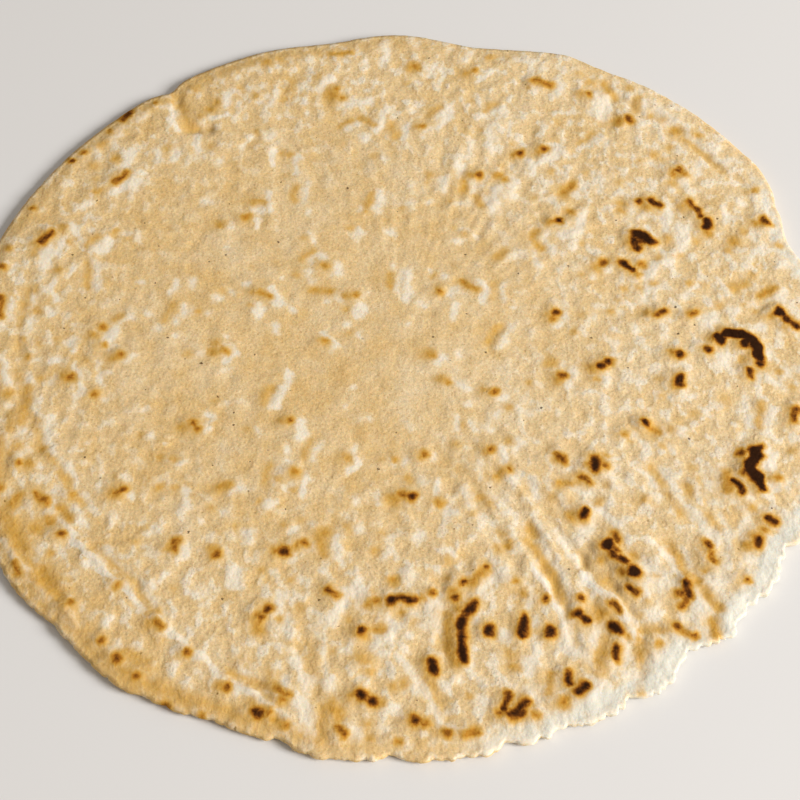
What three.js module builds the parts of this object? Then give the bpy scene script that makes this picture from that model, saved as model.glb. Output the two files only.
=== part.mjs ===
// A corn tortilla: one thin round of maize dough, pressed by hand and toasted on both faces.
// Units are millimetres and +Z is up. The flat underside lies on Z = 0, and the origin is
// under the middle of the round.
import * as THREE from "three";

// ---- Driving dimensions ----

const meanRadius = 79.5;      // of the pressed round, before its swells and dents
const thickness = 1.9;        // of the dough away from the rim
const rimThickness = 0.9;     // of the thin edge
const marginWidth = 5;        // over which the upper face slopes down to the edge
const rimLift = 0.3;          // how far the edge curls up from the surface below
const rimBulge = 0.35;        // how far the edge's middle stands out
const flatInset = 2.6;        // from the edge to where the underside lies flat
const waveHeight = 0.12;      // of the slow unevenness that the press leaves
const waveLength = 46;

const ringCount = 32;         // rings of points on the upper face, from the centre to the edge
const pointsPerRing = 6;      // each ring has this many points more than the one inside it

// Swells and dents of the outline: [angle, height, half width], angles in degrees from +X.
const outlineSwells = [
  [18, -2.6, 5.5], [31, 0.8, 4], [41, 2.2, 16], [52, 0.4, 5], [65, 0.9, 3.5],
  [79, -2.6, 8], [100, -1.6, 7], [126, -1.4, 2], [135, -0.6, 30], [188, 0.6, 14],
  [218, 1.4, 9], [235, 1.6, 6], [244, 0.5, 7], [262, 1.3, 5.5], [275, 1.1, 7], [290, 0.7, 9],
  [301, 0.7, 2], [308, -2, 2.2], [326, -1.4, 2.5], [352, 0.5, 8],
];

// Ridges and folds of the upper face, as the line that each follows. Those of the press run
// beside the rim; the others are wrinkles of the dough. A groove has a height below zero.
const creases = [
  { name: "press ring, crest", height: 0.5, halfWidth: 1.5,
    line: [[-59, -35], [-55, -40], [-48, -47.5], [-39, -56], [-30, -65.5], [-24, -68.5], [-17.5, -75]] },
  { name: "press ring, inner groove", height: -0.4, halfWidth: 1.6,
    line: [[-69, 13], [-69, 2], [-66, -12.5], [-62, -23], [-56, -31], [-51, -38]] },
  { name: "press ring, outer crest", height: 0.4, halfWidth: 1.5,
    line: [[-67, -40], [-61, -48], [-53, -57]] },
  { name: "press ring, far groove", height: -0.4, halfWidth: 1.8,
    line: [[38, 64], [50, 57], [58, 50], [66, 41]] },
  { name: "crease from the notch", height: -0.5, halfWidth: 1.6,
    line: [[-44.5, 63], [-43.5, 58], [-41, 53]] },
  { name: "first long fold", height: -0.5, halfWidth: 1.7,
    line: [[30, -42], [36, -52], [39.5, -61], [38.8, -69]] },
  { name: "second long fold", height: -0.5, halfWidth: 1.7,
    line: [[45.5, -41], [50, -50], [51.8, -58.5]] },
  { name: "third long fold", height: -0.4, halfWidth: 1.6,
    line: [[22, -38.5], [26, -50], [28, -56]] },
  { name: "fold towards the front", height: -0.5, halfWidth: 1.8,
    line: [[-16.5, -55], [-14.5, -63], [-12.5, -75]] },
  { name: "valley by the charred ridge", height: -0.4, halfWidth: 1.5,
    line: [[7, -49], [8.5, -60]] },
  { name: "charred ridge", height: 0.7, halfWidth: 1.6,
    line: [[12.3, -52], [10.4, -58], [10.4, -63]] },
  { name: "charred chain", height: 0.6, halfWidth: 1.8,
    line: [[35.3, -41.4], [39.1, -46.7], [38.8, -50.3]] },
  { name: "charred arch", height: 0.8, halfWidth: 1.9,
    line: [[58, 2], [62, 2.4], [64.6, -1.5], [63.2, -6]] },
  { name: "fold in the middle", height: -0.3, halfWidth: 1.8,
    line: [[19.5, 5], [16.5, 0], [17.5, -3]] },
];

// Blisters that steam raised: [x, y, height, radius].
const blisters = [
  [46, 25, 0.9, 3.2], [48.5, 34, 0.8, 3], [57.5, 31, 0.7, 3], [28.3, 47.5, 0.7, 3],
  [23.8, 46.5, 0.7, 2.6], [45, 55, 0.6, 3.4], [54.5, 41.5, 0.6, 2.8], [3.5, 70, 0.5, 3],
  [-12.5, 62, 0.6, 2.8], [16.5, 40.5, 0.6, 3.2], [-54, 40, 0.7, 2.8], [-28.5, 30.5, 0.6, 3.4],
  [-13.5, 18.2, 0.6, 3.2], [-8.3, 11.6, 0.5, 2.6], [-24.5, 12, 0.5, 2.6], [1, 14, 0.5, 3.4],
  [-36, -17.5, 0.6, 2.8], [-54, 4, 0.5, 2.8], [-66, 25.5, 0.6, 2.8], [-19.5, -42, 0.6, 3.2],
  [38, 18.8, 0.6, 3], [43.5, 17.5, 0.6, 2.6], [71, 6, 0.6, 2.8], [37, -4, 0.7, 2.8],
  [50.5, -7.5, 0.6, 2.4], [62, -26, 0.9, 3.6], [1, -52, 0.6, 3], [-5.5, -70, 0.7, 3],
  [-22, -54.5, 0.6, 3], [20, -71.5, 0.7, 3], [29, -67.5, 0.7, 3], [3, -32, 0.5, 2.8],
  [-46, -62.5, 0.6, 2.8], [62, -38.5, 0.6, 2.8], [30, -54.5, 0.6, 3], [36, -57.5, 0.6, 2.4],
];

// The side and the underside, as rings after the upper face: each ring's inset from the
// outline, its height and its number of points. The inner rings halve their points.
const edgePoints = ringCount * pointsPerRing;
const lowerRings = [
  { inset: -rimBulge, height: rimLift + rimThickness / 2, count: edgePoints },
  { inset: 0.2, height: rimLift, count: edgePoints },
  { inset: flatInset, height: 0, count: edgePoints },
  { inset: 10, height: 0, count: edgePoints / 2 },
  { inset: 24, height: 0, count: edgePoints / 4 },
  { inset: 44, height: 0, count: edgePoints / 8 },
  { inset: 62, height: 0, count: edgePoints / 16 },
];

// ---- The outline and the upper face as functions ----

function bell(distance, halfWidth) {
  return Math.exp(-((distance / halfWidth) ** 2));
}

// The outline's radius at an angle in degrees.
function outlineRadius(degrees) {
  let radius = meanRadius;
  for (const [angle, height, halfWidth] of outlineSwells) {
    const turn = THREE.MathUtils.euclideanModulo(degrees - angle + 180, 360) - 180;
    radius += height * bell(turn, halfWidth);
  }
  return radius;
}

// The shortest distance from a point to a line of straight stretches.
function distanceToLine(point, line) {
  const stretch = new THREE.Line3();
  const nearest = new THREE.Vector3();
  let shortest = Infinity;
  for (let i = 0; i + 1 < line.length; i += 1) {
    stretch.start.set(line[i][0], line[i][1], 0);
    stretch.end.set(line[i + 1][0], line[i + 1][1], 0);
    stretch.closestPointToPoint(point, true, nearest);
    shortest = Math.min(shortest, nearest.distanceTo(point));
  }
  return shortest;
}

// What the slow waves, the creases and the blisters add to the dough at a point.
function relief(point) {
  const turns = (2 * Math.PI) / waveLength;
  let height = waveHeight * Math.sin(point.x * turns + 1) * Math.cos(point.y * turns);
  for (const crease of creases) {
    height += crease.height * bell(distanceToLine(point, crease.line), crease.halfWidth);
  }
  for (const [x, y, rise, radius] of blisters) {
    height += rise * bell(Math.hypot(point.x - x, point.y - y), radius);
  }
  return height;
}

// The height of the upper face: the thin edge, the margin's slope, then the full thickness.
function faceHeight(point, distanceFromEdge) {
  const slope = THREE.MathUtils.smoothstep(distanceFromEdge, 0, marginWidth);
  const edgeTop = rimLift + rimThickness;
  return edgeTop + slope * (thickness - edgeTop + relief(point));
}

// ---- Rings of points, and the skin between them ----

function directionOf(index, count) {
  const degrees = (360 * index) / count;
  const angle = THREE.MathUtils.degToRad(degrees);
  return { degrees, x: Math.cos(angle), y: Math.sin(angle) };
}

function upperRing(k) {
  const count = Math.max(1, k * pointsPerRing);
  const ring = [];
  for (let i = 0; i < count; i += 1) {
    const direction = directionOf(i, count);
    const edgeRadius = outlineRadius(direction.degrees);
    const radius = (edgeRadius * k) / ringCount;
    const point = new THREE.Vector3(radius * direction.x, radius * direction.y, 0);
    point.z = faceHeight(point, edgeRadius - radius);
    ring.push(point);
  }
  return ring;
}

function lowerRing({ inset, height, count }) {
  const ring = [];
  for (let i = 0; i < count; i += 1) {
    const direction = directionOf(i, count);
    const radius = outlineRadius(direction.degrees) - inset;
    ring.push(new THREE.Vector3(radius * direction.x, radius * direction.y, height));
  }
  return ring;
}

// Triangles between two rings that may differ in their number of points: each step moves on
// along the ring that is behind in angle.
function skinBetween(first, firstStart, second, secondStart) {
  const triangles = [];
  const firstSteps = first.length > 1 ? first.length : 0;
  const secondSteps = second.length > 1 ? second.length : 0;
  let i = 0;
  let j = 0;
  while (i < firstSteps || j < secondSteps) {
    const a = firstStart + (i % first.length);
    const b = secondStart + (j % second.length);
    const firstIsBehind = (i + 0.5) / firstSteps < (j + 0.5) / secondSteps;
    if (j >= secondSteps || (i < firstSteps && firstIsBehind)) {
      i += 1;
      triangles.push(a, b, firstStart + (i % first.length));
    } else {
      j += 1;
      triangles.push(a, b, secondStart + (j % second.length));
    }
  }
  return triangles;
}

// One closed surface through all the rings, from the middle of the upper face out over the
// edge and back to the middle of the underside.
function doughGeometry() {
  const rings = [];
  for (let k = 0; k <= ringCount; k += 1) {
    rings.push(upperRing(k));
  }
  for (const lower of lowerRings) {
    rings.push(lowerRing(lower));
  }
  rings.push([new THREE.Vector3(0, 0, 0)]);

  const points = [];
  const triangles = [];
  let start = 0;
  for (let k = 0; k < rings.length; k += 1) {
    points.push(...rings[k]);
    if (k + 1 < rings.length) {
      const nextStart = start + rings[k].length;
      triangles.push(...skinBetween(rings[k], start, rings[k + 1], nextStart));
      start = nextStart;
    }
  }

  const geometry = new THREE.BufferGeometry().setFromPoints(points);
  geometry.setIndex(triangles);
  return geometry;
}

// Puts the origin under the middle of the round's bounding box.
function centreOverOrigin(geometry) {
  geometry.computeBoundingBox();
  const middle = geometry.boundingBox.getCenter(new THREE.Vector3());
  geometry.translate(-middle.x, -middle.y, 0);
  geometry.computeVertexNormals();
  return geometry;
}

// ---- The tortilla ----

function tortilla() {
  const dough = new THREE.MeshStandardMaterial({ color: 0xdcc096, roughness: 0.85, metalness: 0 });
  const mesh = new THREE.Mesh(centreOverOrigin(doughGeometry()), dough);
  mesh.name = "tortilla";
  return mesh;
}

const part = new THREE.Group();
part.add(tortilla());

export default part;
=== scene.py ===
# %% [markdown]
# # A corn tortilla
# A hand-pressed round of maize dough, toasted on a hot griddle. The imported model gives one
# plain solid, the node "tortilla", at its true size and place. This file makes the surface
# that is seen: a fine mesh worked out from formulas, and one procedural material.
# Everything is thought out in millimetres and handed to Blender in metres.

# %% Load the frame
import math

import bpy
import numpy as np
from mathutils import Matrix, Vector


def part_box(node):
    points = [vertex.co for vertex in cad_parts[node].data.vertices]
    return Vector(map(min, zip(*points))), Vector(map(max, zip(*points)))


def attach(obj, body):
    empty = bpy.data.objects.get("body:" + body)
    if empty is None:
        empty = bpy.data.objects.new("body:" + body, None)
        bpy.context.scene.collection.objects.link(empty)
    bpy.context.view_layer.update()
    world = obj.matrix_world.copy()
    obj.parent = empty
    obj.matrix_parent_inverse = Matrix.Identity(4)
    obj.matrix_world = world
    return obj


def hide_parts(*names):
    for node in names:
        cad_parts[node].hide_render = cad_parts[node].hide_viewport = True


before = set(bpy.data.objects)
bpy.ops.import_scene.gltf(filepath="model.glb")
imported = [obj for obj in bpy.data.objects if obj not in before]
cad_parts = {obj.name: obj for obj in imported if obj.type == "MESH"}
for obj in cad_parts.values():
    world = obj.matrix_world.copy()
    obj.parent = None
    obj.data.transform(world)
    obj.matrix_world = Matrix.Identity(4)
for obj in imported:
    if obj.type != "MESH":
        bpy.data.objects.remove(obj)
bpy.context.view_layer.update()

MM = 0.001
CAD_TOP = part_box("tortilla")[1].z / MM

# %% [markdown]
# ## The camera
# The tortilla is looked down on from the front, at a bit more than 55 degrees above the
# horizon, from a third of a metre away and through a long lens, so that the round fills the
# frame and runs just past its left and right sides. A constraint could aim the camera. Here a
# place on a circle round the target gives its position, and tilting it down by the same angle
# points it back, so that the numbers say all there is to know.

# %% The camera
CAMERA_ELEVATION = math.radians(55.49)
CAMERA_DISTANCE = 337.6
CAMERA_TARGET = (0.38, -10.08, 0.0)
LENS = 85
SENSOR = 36
NEAREST_SEEN = 10

camera_data = bpy.data.cameras.new("camera")
camera_data.lens = LENS
camera_data.sensor_width = SENSOR
camera_data.clip_start = NEAREST_SEEN * MM
camera = bpy.data.objects.new("camera", camera_data)
camera.location = (
    CAMERA_TARGET[0] * MM,
    (CAMERA_TARGET[1] - CAMERA_DISTANCE * math.cos(CAMERA_ELEVATION)) * MM,
    CAMERA_DISTANCE * math.sin(CAMERA_ELEVATION) * MM,
)
camera.rotation_euler = (math.pi / 2 - CAMERA_ELEVATION, 0, 0)
bpy.context.scene.collection.objects.link(camera)
bpy.context.scene.camera = camera
print("the camera stands at, mm:", [round(v / MM, 1) for v in camera.location])

# %% [markdown]
# ## Three small tools for shapes
# Almost every feature of the dough is a soft hill or valley, so one bell curve serves them
# all: a number that is 1 on the feature and fades to 0 beside it. A feature can be a dot or
# a line, so the second tool is the distance to a line. The third makes random hills, for all
# that is chance in a hand-made thing. Sculpting could do the same, but formulas can be read
# and changed. Each tool works on a whole array of points at once.

# %% Soft steps, bells and distances
def smooth_step(value, low, high):
    """0 below low, 1 above high, and between them three times the square of the share of the
    way less twice its cube."""
    share = np.clip((value - low) / (high - low), 0, 1)
    return share * share * (3 - 2 * share)


def bell(distance, half_width):
    """e to the power of minus the square of distance over half width: 1 at no distance."""
    return np.exp(-((distance / half_width) ** 2))


def distance_to(line, x, y):
    """The shortest distance to a dot, or to a line of straight stretches. On each stretch the
    nearest place is a share of its length: the point's offset times the stretch, over the
    stretch's length squared, kept between 0 and 1."""
    nearest = np.hypot(x - line[0][0], y - line[0][1])
    for (x0, y0), (x1, y1) in zip(line, line[1:]):
        across, along = x1 - x0, y1 - y0
        share = ((x - x0) * across + (y - y0) * along) / (across**2 + along**2)
        share = np.clip(share, 0, 1)
        nearest = np.minimum(nearest, np.hypot(x - x0 - share * across, y - y0 - share * along))
    return nearest


print("a bell at one half width:", round(bell(1.0, 1.0), 3))

# %% Random hills
LATTICE = 256         # corners before the random slopes come round again
LATTICE_SHIFT = 60.5  # puts the origin in the middle of a square
HILL_GAIN = 1.5       # brings the hills up to about 1


def hills(x, y, size, seed, octaves=1):
    """Soft random hills and valleys between about -1 and 1. Each corner of a lattice with
    squares of the given size has a random slope, which gives a height to every point near it,
    and the four corners' heights are blended by a smooth step. Each further octave has half
    the size and half the height."""
    total = np.zeros(np.shape(x))
    for octave in range(octaves):
        rng = np.random.default_rng(seed + octave)
        turn = rng.uniform(0, 2 * math.pi, (LATTICE, LATTICE))
        u = x / size * 2**octave + LATTICE_SHIFT
        v = y / size * 2**octave + LATTICE_SHIFT
        column, row = np.floor(u).astype(int), np.floor(v).astype(int)
        du, dv = u - column, v - row
        corners = []
        for i in (0, 1):
            for j in (0, 1):
                slope = turn[(column + i) % LATTICE, (row + j) % LATTICE]
                corners.append(np.cos(slope) * (du - i) + np.sin(slope) * (dv - j))
        across, up = smooth_step(du, 0, 1), smooth_step(dv, 0, 1)
        left = corners[0] * (1 - up) + corners[1] * up
        right = corners[2] * (1 - up) + corners[3] * up
        total += (left * (1 - across) + right * across) * HILL_GAIN / 2**octave
    return total


test_x, test_y = np.meshgrid(np.arange(99.0), np.arange(99.0))
print("hills reach", np.abs(hills(test_x, test_y, size=7, seed=1)).max().round(2))

# %% [markdown]
# ## The outline
# Pressed dough spreads almost to a circle, with slow swells where it was thicker and dents
# where it cracked. A drawn curve could hold that, but it would be one long list of points.
# Here the radius at each angle is the mean radius plus one bell for each swell or dent. The
# first list is that of the CAD solid, so the two agree; the nicks are too fine for it. The
# same smooth outline also tells where the round's middle is.

# %% The outline
MEAN_RADIUS = 79.5
SWELLS = np.array([  # angle in degrees from +X, height, half width in degrees
    [18, -2.6, 5.5], [31, 0.8, 4], [41, 2.2, 16], [52, 0.4, 5], [65, 0.9, 3.5], [79, -2.6, 8],
    [100, -1.6, 7], [126, -1.4, 2], [135, -0.6, 30], [188, 0.6, 14], [218, 1.4, 9],
    [235, 1.6, 6], [244, 0.5, 7], [262, 1.3, 5.5], [275, 1.1, 7], [290, 0.7, 9], [301, 0.7, 2],
    [308, -2, 2.2], [326, -1.4, 2.5], [352, 0.5, 8],
])
NICKS = np.array([
    [24.5, -0.5, 1.2], [224.5, -0.4, 1.5], [247.5, -0.5, 2.5], [256.4, -1, 1.1],
    [269, -0.7, 1.1], [282.5, -1, 1.1], [289.5, -0.9, 1.4], [298.5, -0.9, 1.2],
    [305.5, -0.4, 1], [313.5, 0.6, 1.4], [317.5, -0.7, 1.8], [327.5, -0.8, 0.8],
])
ANGLE_STEP = 0.25


def outline(angle, features):
    """The sum of the bells of the features, each at its own angle, at the given angles."""
    turn = np.degrees(angle)[..., None] - features[:, 0]
    turn = (turn + 180) % 360 - 180
    return (features[:, 1] * bell(turn, features[:, 2])).sum(axis=-1)


around = np.radians(np.arange(0, 360, ANGLE_STEP))
smooth_radius = MEAN_RADIUS + outline(around, SWELLS)
edge_points = np.stack([smooth_radius * np.cos(around), smooth_radius * np.sin(around)])
CENTRE = (edge_points.max(axis=1) + edge_points.min(axis=1)) / 2
print("the round's middle is off the press's middle by, mm:", CENTRE.round(2))

# %% [markdown]
# ## The ragged edge
# The rim dries first and is squeezed hardest, so it frays: small lobes with narrow notches
# between them, crumbled into teeth at the front right and fine elsewhere. Noise in a material
# can't cut an edge, so the points of the rim themselves move. One less the size of random
# hills is a ridge that is sharp where their height is zero, which gives the narrow notches.

# %% The ragged edge
LOBE, TOOTH = 3.4, 1.7                    # how long they are, in mm
LOBE_MEAN, TOOTH_MEAN = 0.3, 0.45         # taken off, so that the edge keeps its place
TOOTH_GROUP, GROUP_DEPTH = 2.2, 0.5       # teeth come in groups a few teeth long
FRAY = 0.32                               # how deep the lobes' notches are, in mm
FRAY_EVERYWHERE, FRAY_AT_FRONT = 0.2, 1.2
FRONT, FRONT_WIDTH = 255, 55              # in degrees
TOOTH_DEPTH, FINE_TEETH = 0.9, 0.45       # at the front right, and as a share of the fray
TEETH_FROM, TEETH_TO = 280, 345
TEETH_GROW, TEETH_SHRINK = 25, 10         # half of the degrees over which they do


def ragged(angle):
    """How far the true edge lies outside the smooth outline, in mm: the nicks, less the fray
    times the fifth power of the lobes' ridge, less the teeth's depth times the cube of their
    ridge. The fray is deepest at the front and the teeth are long over the front right."""
    degrees = np.degrees(angle) % 360
    toothed = smooth_step(degrees, TEETH_FROM - TEETH_GROW, TEETH_FROM + TEETH_GROW)
    toothed *= 1 - smooth_step(degrees, TEETH_TO - TEETH_SHRINK, TEETH_TO + TEETH_SHRINK)
    fray = FRAY * (FRAY_EVERYWHERE + FRAY_AT_FRONT * bell(degrees - FRONT, FRONT_WIDTH))
    x, y = MEAN_RADIUS * np.cos(angle), MEAN_RADIUS * np.sin(angle)
    lobe_ridge = 1 - np.abs(hills(x, y, size=LOBE, seed=11))
    tooth_ridge = 1 - np.abs(hills(x, y, size=TOOTH, seed=12))
    teeth = tooth_ridge**3 - TOOTH_MEAN - GROUP_DEPTH * hills(x, y, TOOTH_GROUP * TOOTH, seed=14)
    tooth_depth = FINE_TEETH * fray + TOOTH_DEPTH * toothed
    return outline(angle, NICKS) - fray * (lobe_ridge**5 - LOBE_MEAN) - tooth_depth * teeth


print("the edge frays between, mm:", ragged(around).min().round(2), ragged(around).max().round(2))

# %% [markdown]
# ## What the press and the griddle left on the upper face
# The press leaves thin rings beside the rim, and the dough wrinkles in long folds at the front
# right. Each is listed as a line. A crease is a bell across its line: a ridge, or a groove where
# the height is below zero. Blisters without a mark are round hills of their own.

# %% The creases that the press left
CREASES = [  # height, half width, line
    (0.2, 0.6, [(-58.1, -36.3), (-54.8, -40.4), (-51.5, -43.7), (-48.5, -47), (-45.6, -49.3),
                (-43.7, -52.2), (-40.4, -55.2), (-35.2, -60.2), (-32.6, -62.2), (-29.6, -65.6),
                (-24.4, -68.5), (-20.7, -71.1), (-17.8, -73.3)]),
    (-0.2, 0.9, [(-50.7, -42.6), (-47.4, -45.9), (-44.8, -48.1), (-42.2, -51.9), (-40.4, -54)]),
    (0.2, 0.65, [(-66.7, -40.7), (-65.2, -43), (-62.6, -45.9), (-60.4, -48.5), (-57.8, -51.5),
                 (-54.4, -54.3), (-53.1, -56.7)]),
    (-0.22, 0.9, [(-62.6, -44.1), (-59.3, -47.8), (-55.9, -51.9)]),
    (-0.15, 0.8, [(-68.5, 13.3), (-69.3, 4.4), (-68.1, -5.9), (-67, -11.5), (-65.2, -14.8),
                  (-63.3, -18.5), (-61.9, -23), (-58.9, -25.9), (-56.3, -30.7), (-54.1, -33.3)]),
    (0.14, 0.7, [(-71.1, -3.7), (-70, -7), (-69.3, -8.9)]),
    (0.12, 0.6, [(-58.1, -4.4), (-57, -7), (-56.1, -10.4)]),
    (-0.14, 0.8, [(-58.1, 19.3), (-57.6, 13.3)]),
    (-0.22, 0.9, [(-27.8, -65.2), (-24.1, -66.7), (-20.7, -68.1)]),
    (-0.22, 1.0, [(41.1, 65.2), (43.3, 61.1), (46.5, 59)]),
    (-0.22, 0.9, [(50.5, 56.5), (55.9, 50.4), (61.9, 43.3), (66.5, 39)]),
]
print(len(CREASES), "creases of the press")

# %% The folds and wrinkles
CREASES += [
    (-0.5, 1.5, [(-45, 63.5), (-43.8, 58.5), (-42, 55), (-40.5, 53.5), (-38, 53)]),
    (-0.18, 1.1, [(-22, 66), (-22.5, 60)]),
    (-0.2, 0.9, [(18.5, 4.4), (17.2, 1.5), (16.8, -1), (17.8, -3)]),
    (-0.18, 0.9, [(-22.2, -9.3), (-23.3, -12.2)]),
    (-0.2, 0.9, [(26.3, 27), (25.2, 25.9), (25.6, 24.1), (26.9, 22.6)]),
    (-0.2, 1.1, [(31.7, -45), (33.4, -47.5), (35.6, -50.5), (38.2, -54), (39.7, -58),
                 (39.8, -63), (39, -69)]),
    (-0.2, 1.1, [(45.6, -41.9), (46.9, -45.6), (48.4, -48.1), (50.6, -50.7), (52.5, -53.7),
                 (51.7, -58.5)]),
    (-0.19, 1.1, [(23.2, -44.6), (24.2, -46.2), (25.6, -48.4), (27.1, -52.1), (28.6, -56.5),
                  (28.8, -61)]),
    (-0.12, 0.9, [(-16.4, -58), (-15.7, -60.7), (-14.3, -65.2), (-13.3, -68.1), (-12.6, -71.5),
                  (-12.9, -77)]),
    (-0.18, 1.0, [(1.6, -62.6), (4, -66.3), (6.2, -70.7), (7.7, -74.1)]),
    (-0.2, 1.2, [(6.6, -48.5), (7.2, -54.8), (7.4, -60.7)]),
    (-0.15, 0.9, [(28.6, -40), (30.4, -43), (31.6, -46)]),
    (-0.15, 1.0, [(33.6, -56.7), (33, -60.7), (31.8, -63)]),
    (0.12, 0.7, [(31.2, -47.8), (33.6, -50.3), (35.9, -52.6), (37.2, -54.8), (38.5, -57),
                 (39.3, -58.9)]),
    (0.12, 0.7, [(23.8, -47.5), (25.2, -50.6), (26.5, -53.7), (27.3, -56.7)]),
    (0.1, 0.7, [(45.2, -42.6), (46.2, -45.5), (47.6, -48)]),
    (0.1, 0.7, [(49.4, -50.2), (50.7, -52.6), (51.3, -54.5)]),
]
print(len(CREASES), "creases with the folds")

# %% The plain blisters
BLISTERS = [  # x, y, height, radius
    (38.5, 59.5, 0.35, 4), (29.5, 46, 0.3, 4), (16.7, 67, 0.25, 3.2), (-15, 65, 0.22, 2.6),
    (20.3, 36.5, 0.35, 4), (9, 55, 0.22, 3.2), (-3.5, 55, 0.22, 3), (-53, 45, 0.3, 3.2),
    (-50.4, 40.6, 0.3, 2.8), (1, 14, 0.22, 4), (-13.5, 18.2, 0.25, 4.6), (52.5, 25.5, 0.4, 4),
    (33.5, 28, 0.35, 4), (49.5, 19.5, 0.3, 3), (57, -3, 0.35, 3.2), (-27.2, -47.8, 0.25, 3.4),
    (-22, -33.5, 0.22, 3.2), (-6.5, -63.5, 0.35, 4), (42, -62, 0.35, 3.6), (32.5, -68, 0.3, 3.2),
    (-52.5, -45, 0.22, 3), (-53, 2.2, 0.25, 3),
]
print(len(BLISTERS), "plain blisters")

# %% [markdown]
# ## The marks of the griddle
# Steam lifts blisters, and the tops of the blisters touch the hot metal when the tortilla is
# turned, so each toasted mark sits on a small hump. Noise alone would make spots everywhere
# alike. The real ones are few on the left and black on the right, so they are listed one by
# one, from the back to the front. A row has the x and y of each point of the mark's line, one
# point for a dot, and then its width and its darkness: from 0.2, a golden blush, through
# 0.5, brown, to 1, black, and above 1 where the black spreads.

# %% From rows of numbers to features
def features_from(rows):
    """For each row, its line of points as pairs, and its last two numbers."""
    features = []
    for row in rows:
        line = list(zip(row[:-2:2], row[1:-2:2]))
        features.append((line, row[-2], row[-1]))
    return features


MARKS = []
PALE_AND_LIT_PATCHES = []
print("a row of six numbers is a line of two points:", features_from([(0, 1, 2, 3, 4, 5)])[0])

# %% The toasted marks at the back, on the left
MARKS += features_from([  # x, y of each point of the line, then width and darkness
    (-13.1, 61.7, 3.8, .38), (-11.3, 61.1, 1.6, .5), (-12.6, 63.3, 1, .45),
    (-13.7, 73.3, -9.6, 73.7, 1.3, .38), (-24.1, 71.9, 2.2, .27), (-27, 71.5, 2, .18),
    (-28.7, 61.9, 1.8, .3), (-36.3, 60, 1.6, .42), (-37.4, 58.1, 2.6, .33), (-38.9, 56.3, 2, .25),
    (-21.5, 65.2, -22.8, 60.7, 1.8, .2), (-16.3, 66.7, 2, .2),
    (-9.3, 55.2, -11.7, 53.7, 1.2, .28), (-7.4, 55.6, -5, 54.1, 1.3, .3),
    (-1.5, 54.4, -.6, 50.7, 2, .25), (-21.1, 46.1, 1, .38), (-22.6, 46.7, 1.6, .25),
    (-27.8, 52.2, 1.2, .25), (-31.5, 64.1, 1.5, .2), (-4.8, 45.6, .8, .2),
    (-26.6, 71.1, 2.6, .34), (-40.7, 64, 2.6, .3), (-31.1, 62.8, 2.2, .2), (-57, 52.6, 1.6, .52),
    (-53.3, 57.4, -54.4, 55.6, 1.2, .8), (-61.5, 46.9, 1.3, .6), (-63.7, 44.8, 1.3, .8),
    (-59.2, 43.5, 3, .26), (-36.3, 48.3, 2.6, .2), (-58.1, 48.8, 2.4, .3), (-44.8, 48, 2.8, .26),
    (-55, 45, 1.7, .35), (-43, 59.3, -40.7, 53.3, 3, .25), (-48.1, 60, 1, .6),
])
print(len(MARKS), "marks so far")

# %% The toasted marks at the back, on the right
MARKS += features_from([
    (3, 70, 3, .42), (3.7, 69.4, 1.6, .42), (1.5, 65.9, 1.8, .22), (15.4, 68.5, 1.3, .48),
    (13.7, 67.8, 2, .35), (18.5, 72.8, 2, .25), (21.9, 72.6, 1.6, .2),
    (27.2, 65.7, 30.7, 64.6, 1.3, .52), (25.9, 64.1, 1, .25), (38, 62, 1.4, .62),
    (36.3, 62.2, 2, .3), (4.6, 53.5, 1.3, .52), (3.7, 53.1, 1.8, .3),
    (8.1, 58.9, 5.9, 55.9, 1.2, .22), (18.9, 59.6, 17, 57.8, 1.4, .22), (14.4, 60.4, 1, .2),
    (23.7, 46.5, 1.5, .76), (22.4, 45.9, 1.6, .4), (22.2, 48.9, 1, .22), (28.3, 47.5, 1.4, .76),
    (27.2, 46.7, 1.3, .35), (15.4, 40.6, 1.3, .65), (13.9, 40.7, 1.5, .4), (19.3, 40.7, 1.8, .5),
    (6.1, 40.7, 2, .25), (29.6, 41.9, 1.2, .25), (38.1, 51.5, 35.6, 49.3, 1.2, .25),
    (36.3, 41.5, 1, .2), (31.5, 54.8, 1, .18), (15.9, 52.6, .9, .2), (36.5, 67.6, 1.8, .2),
    (20, 43.7, 1.2, .2), (38.3, 65.5, 2.2, .28), (42, 63.3, 2.2, .32), (49.7, 46.2, 2.2, .3),
    (45.6, 55.2, 2, .72), (43.5, 54.8, 3, .42), (54.6, 52.2, 2.6, .38), (58.9, 51.1, .9, .35),
    (47.6, 61.5, 47, 57.8, 1.3, .25), (49.8, 56.3, 1.2, .28), (41.1, 65.2, 43.3, 61.1, 1.5, .3),
    (52.8, 47.8, 1.8, .25), (54.6, 41.9, 1.3, .85), (53.3, 41.1, 2.4, .45), (51.5, 44.8, 1.4, .2),
    (55.9, 50.4, 61.9, 43.3, 1.2, .22), (63, 42, 1.2, .22), (41.9, 41.9, 1.4, .2),
    (46.5, 64, 1.8, .26), (47, 44.4, 1, .18), (52.2, 55.2, 2.4, .2), (55.2, 41, 1.8, .46),
])
print(len(MARKS), "marks so far")

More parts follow.
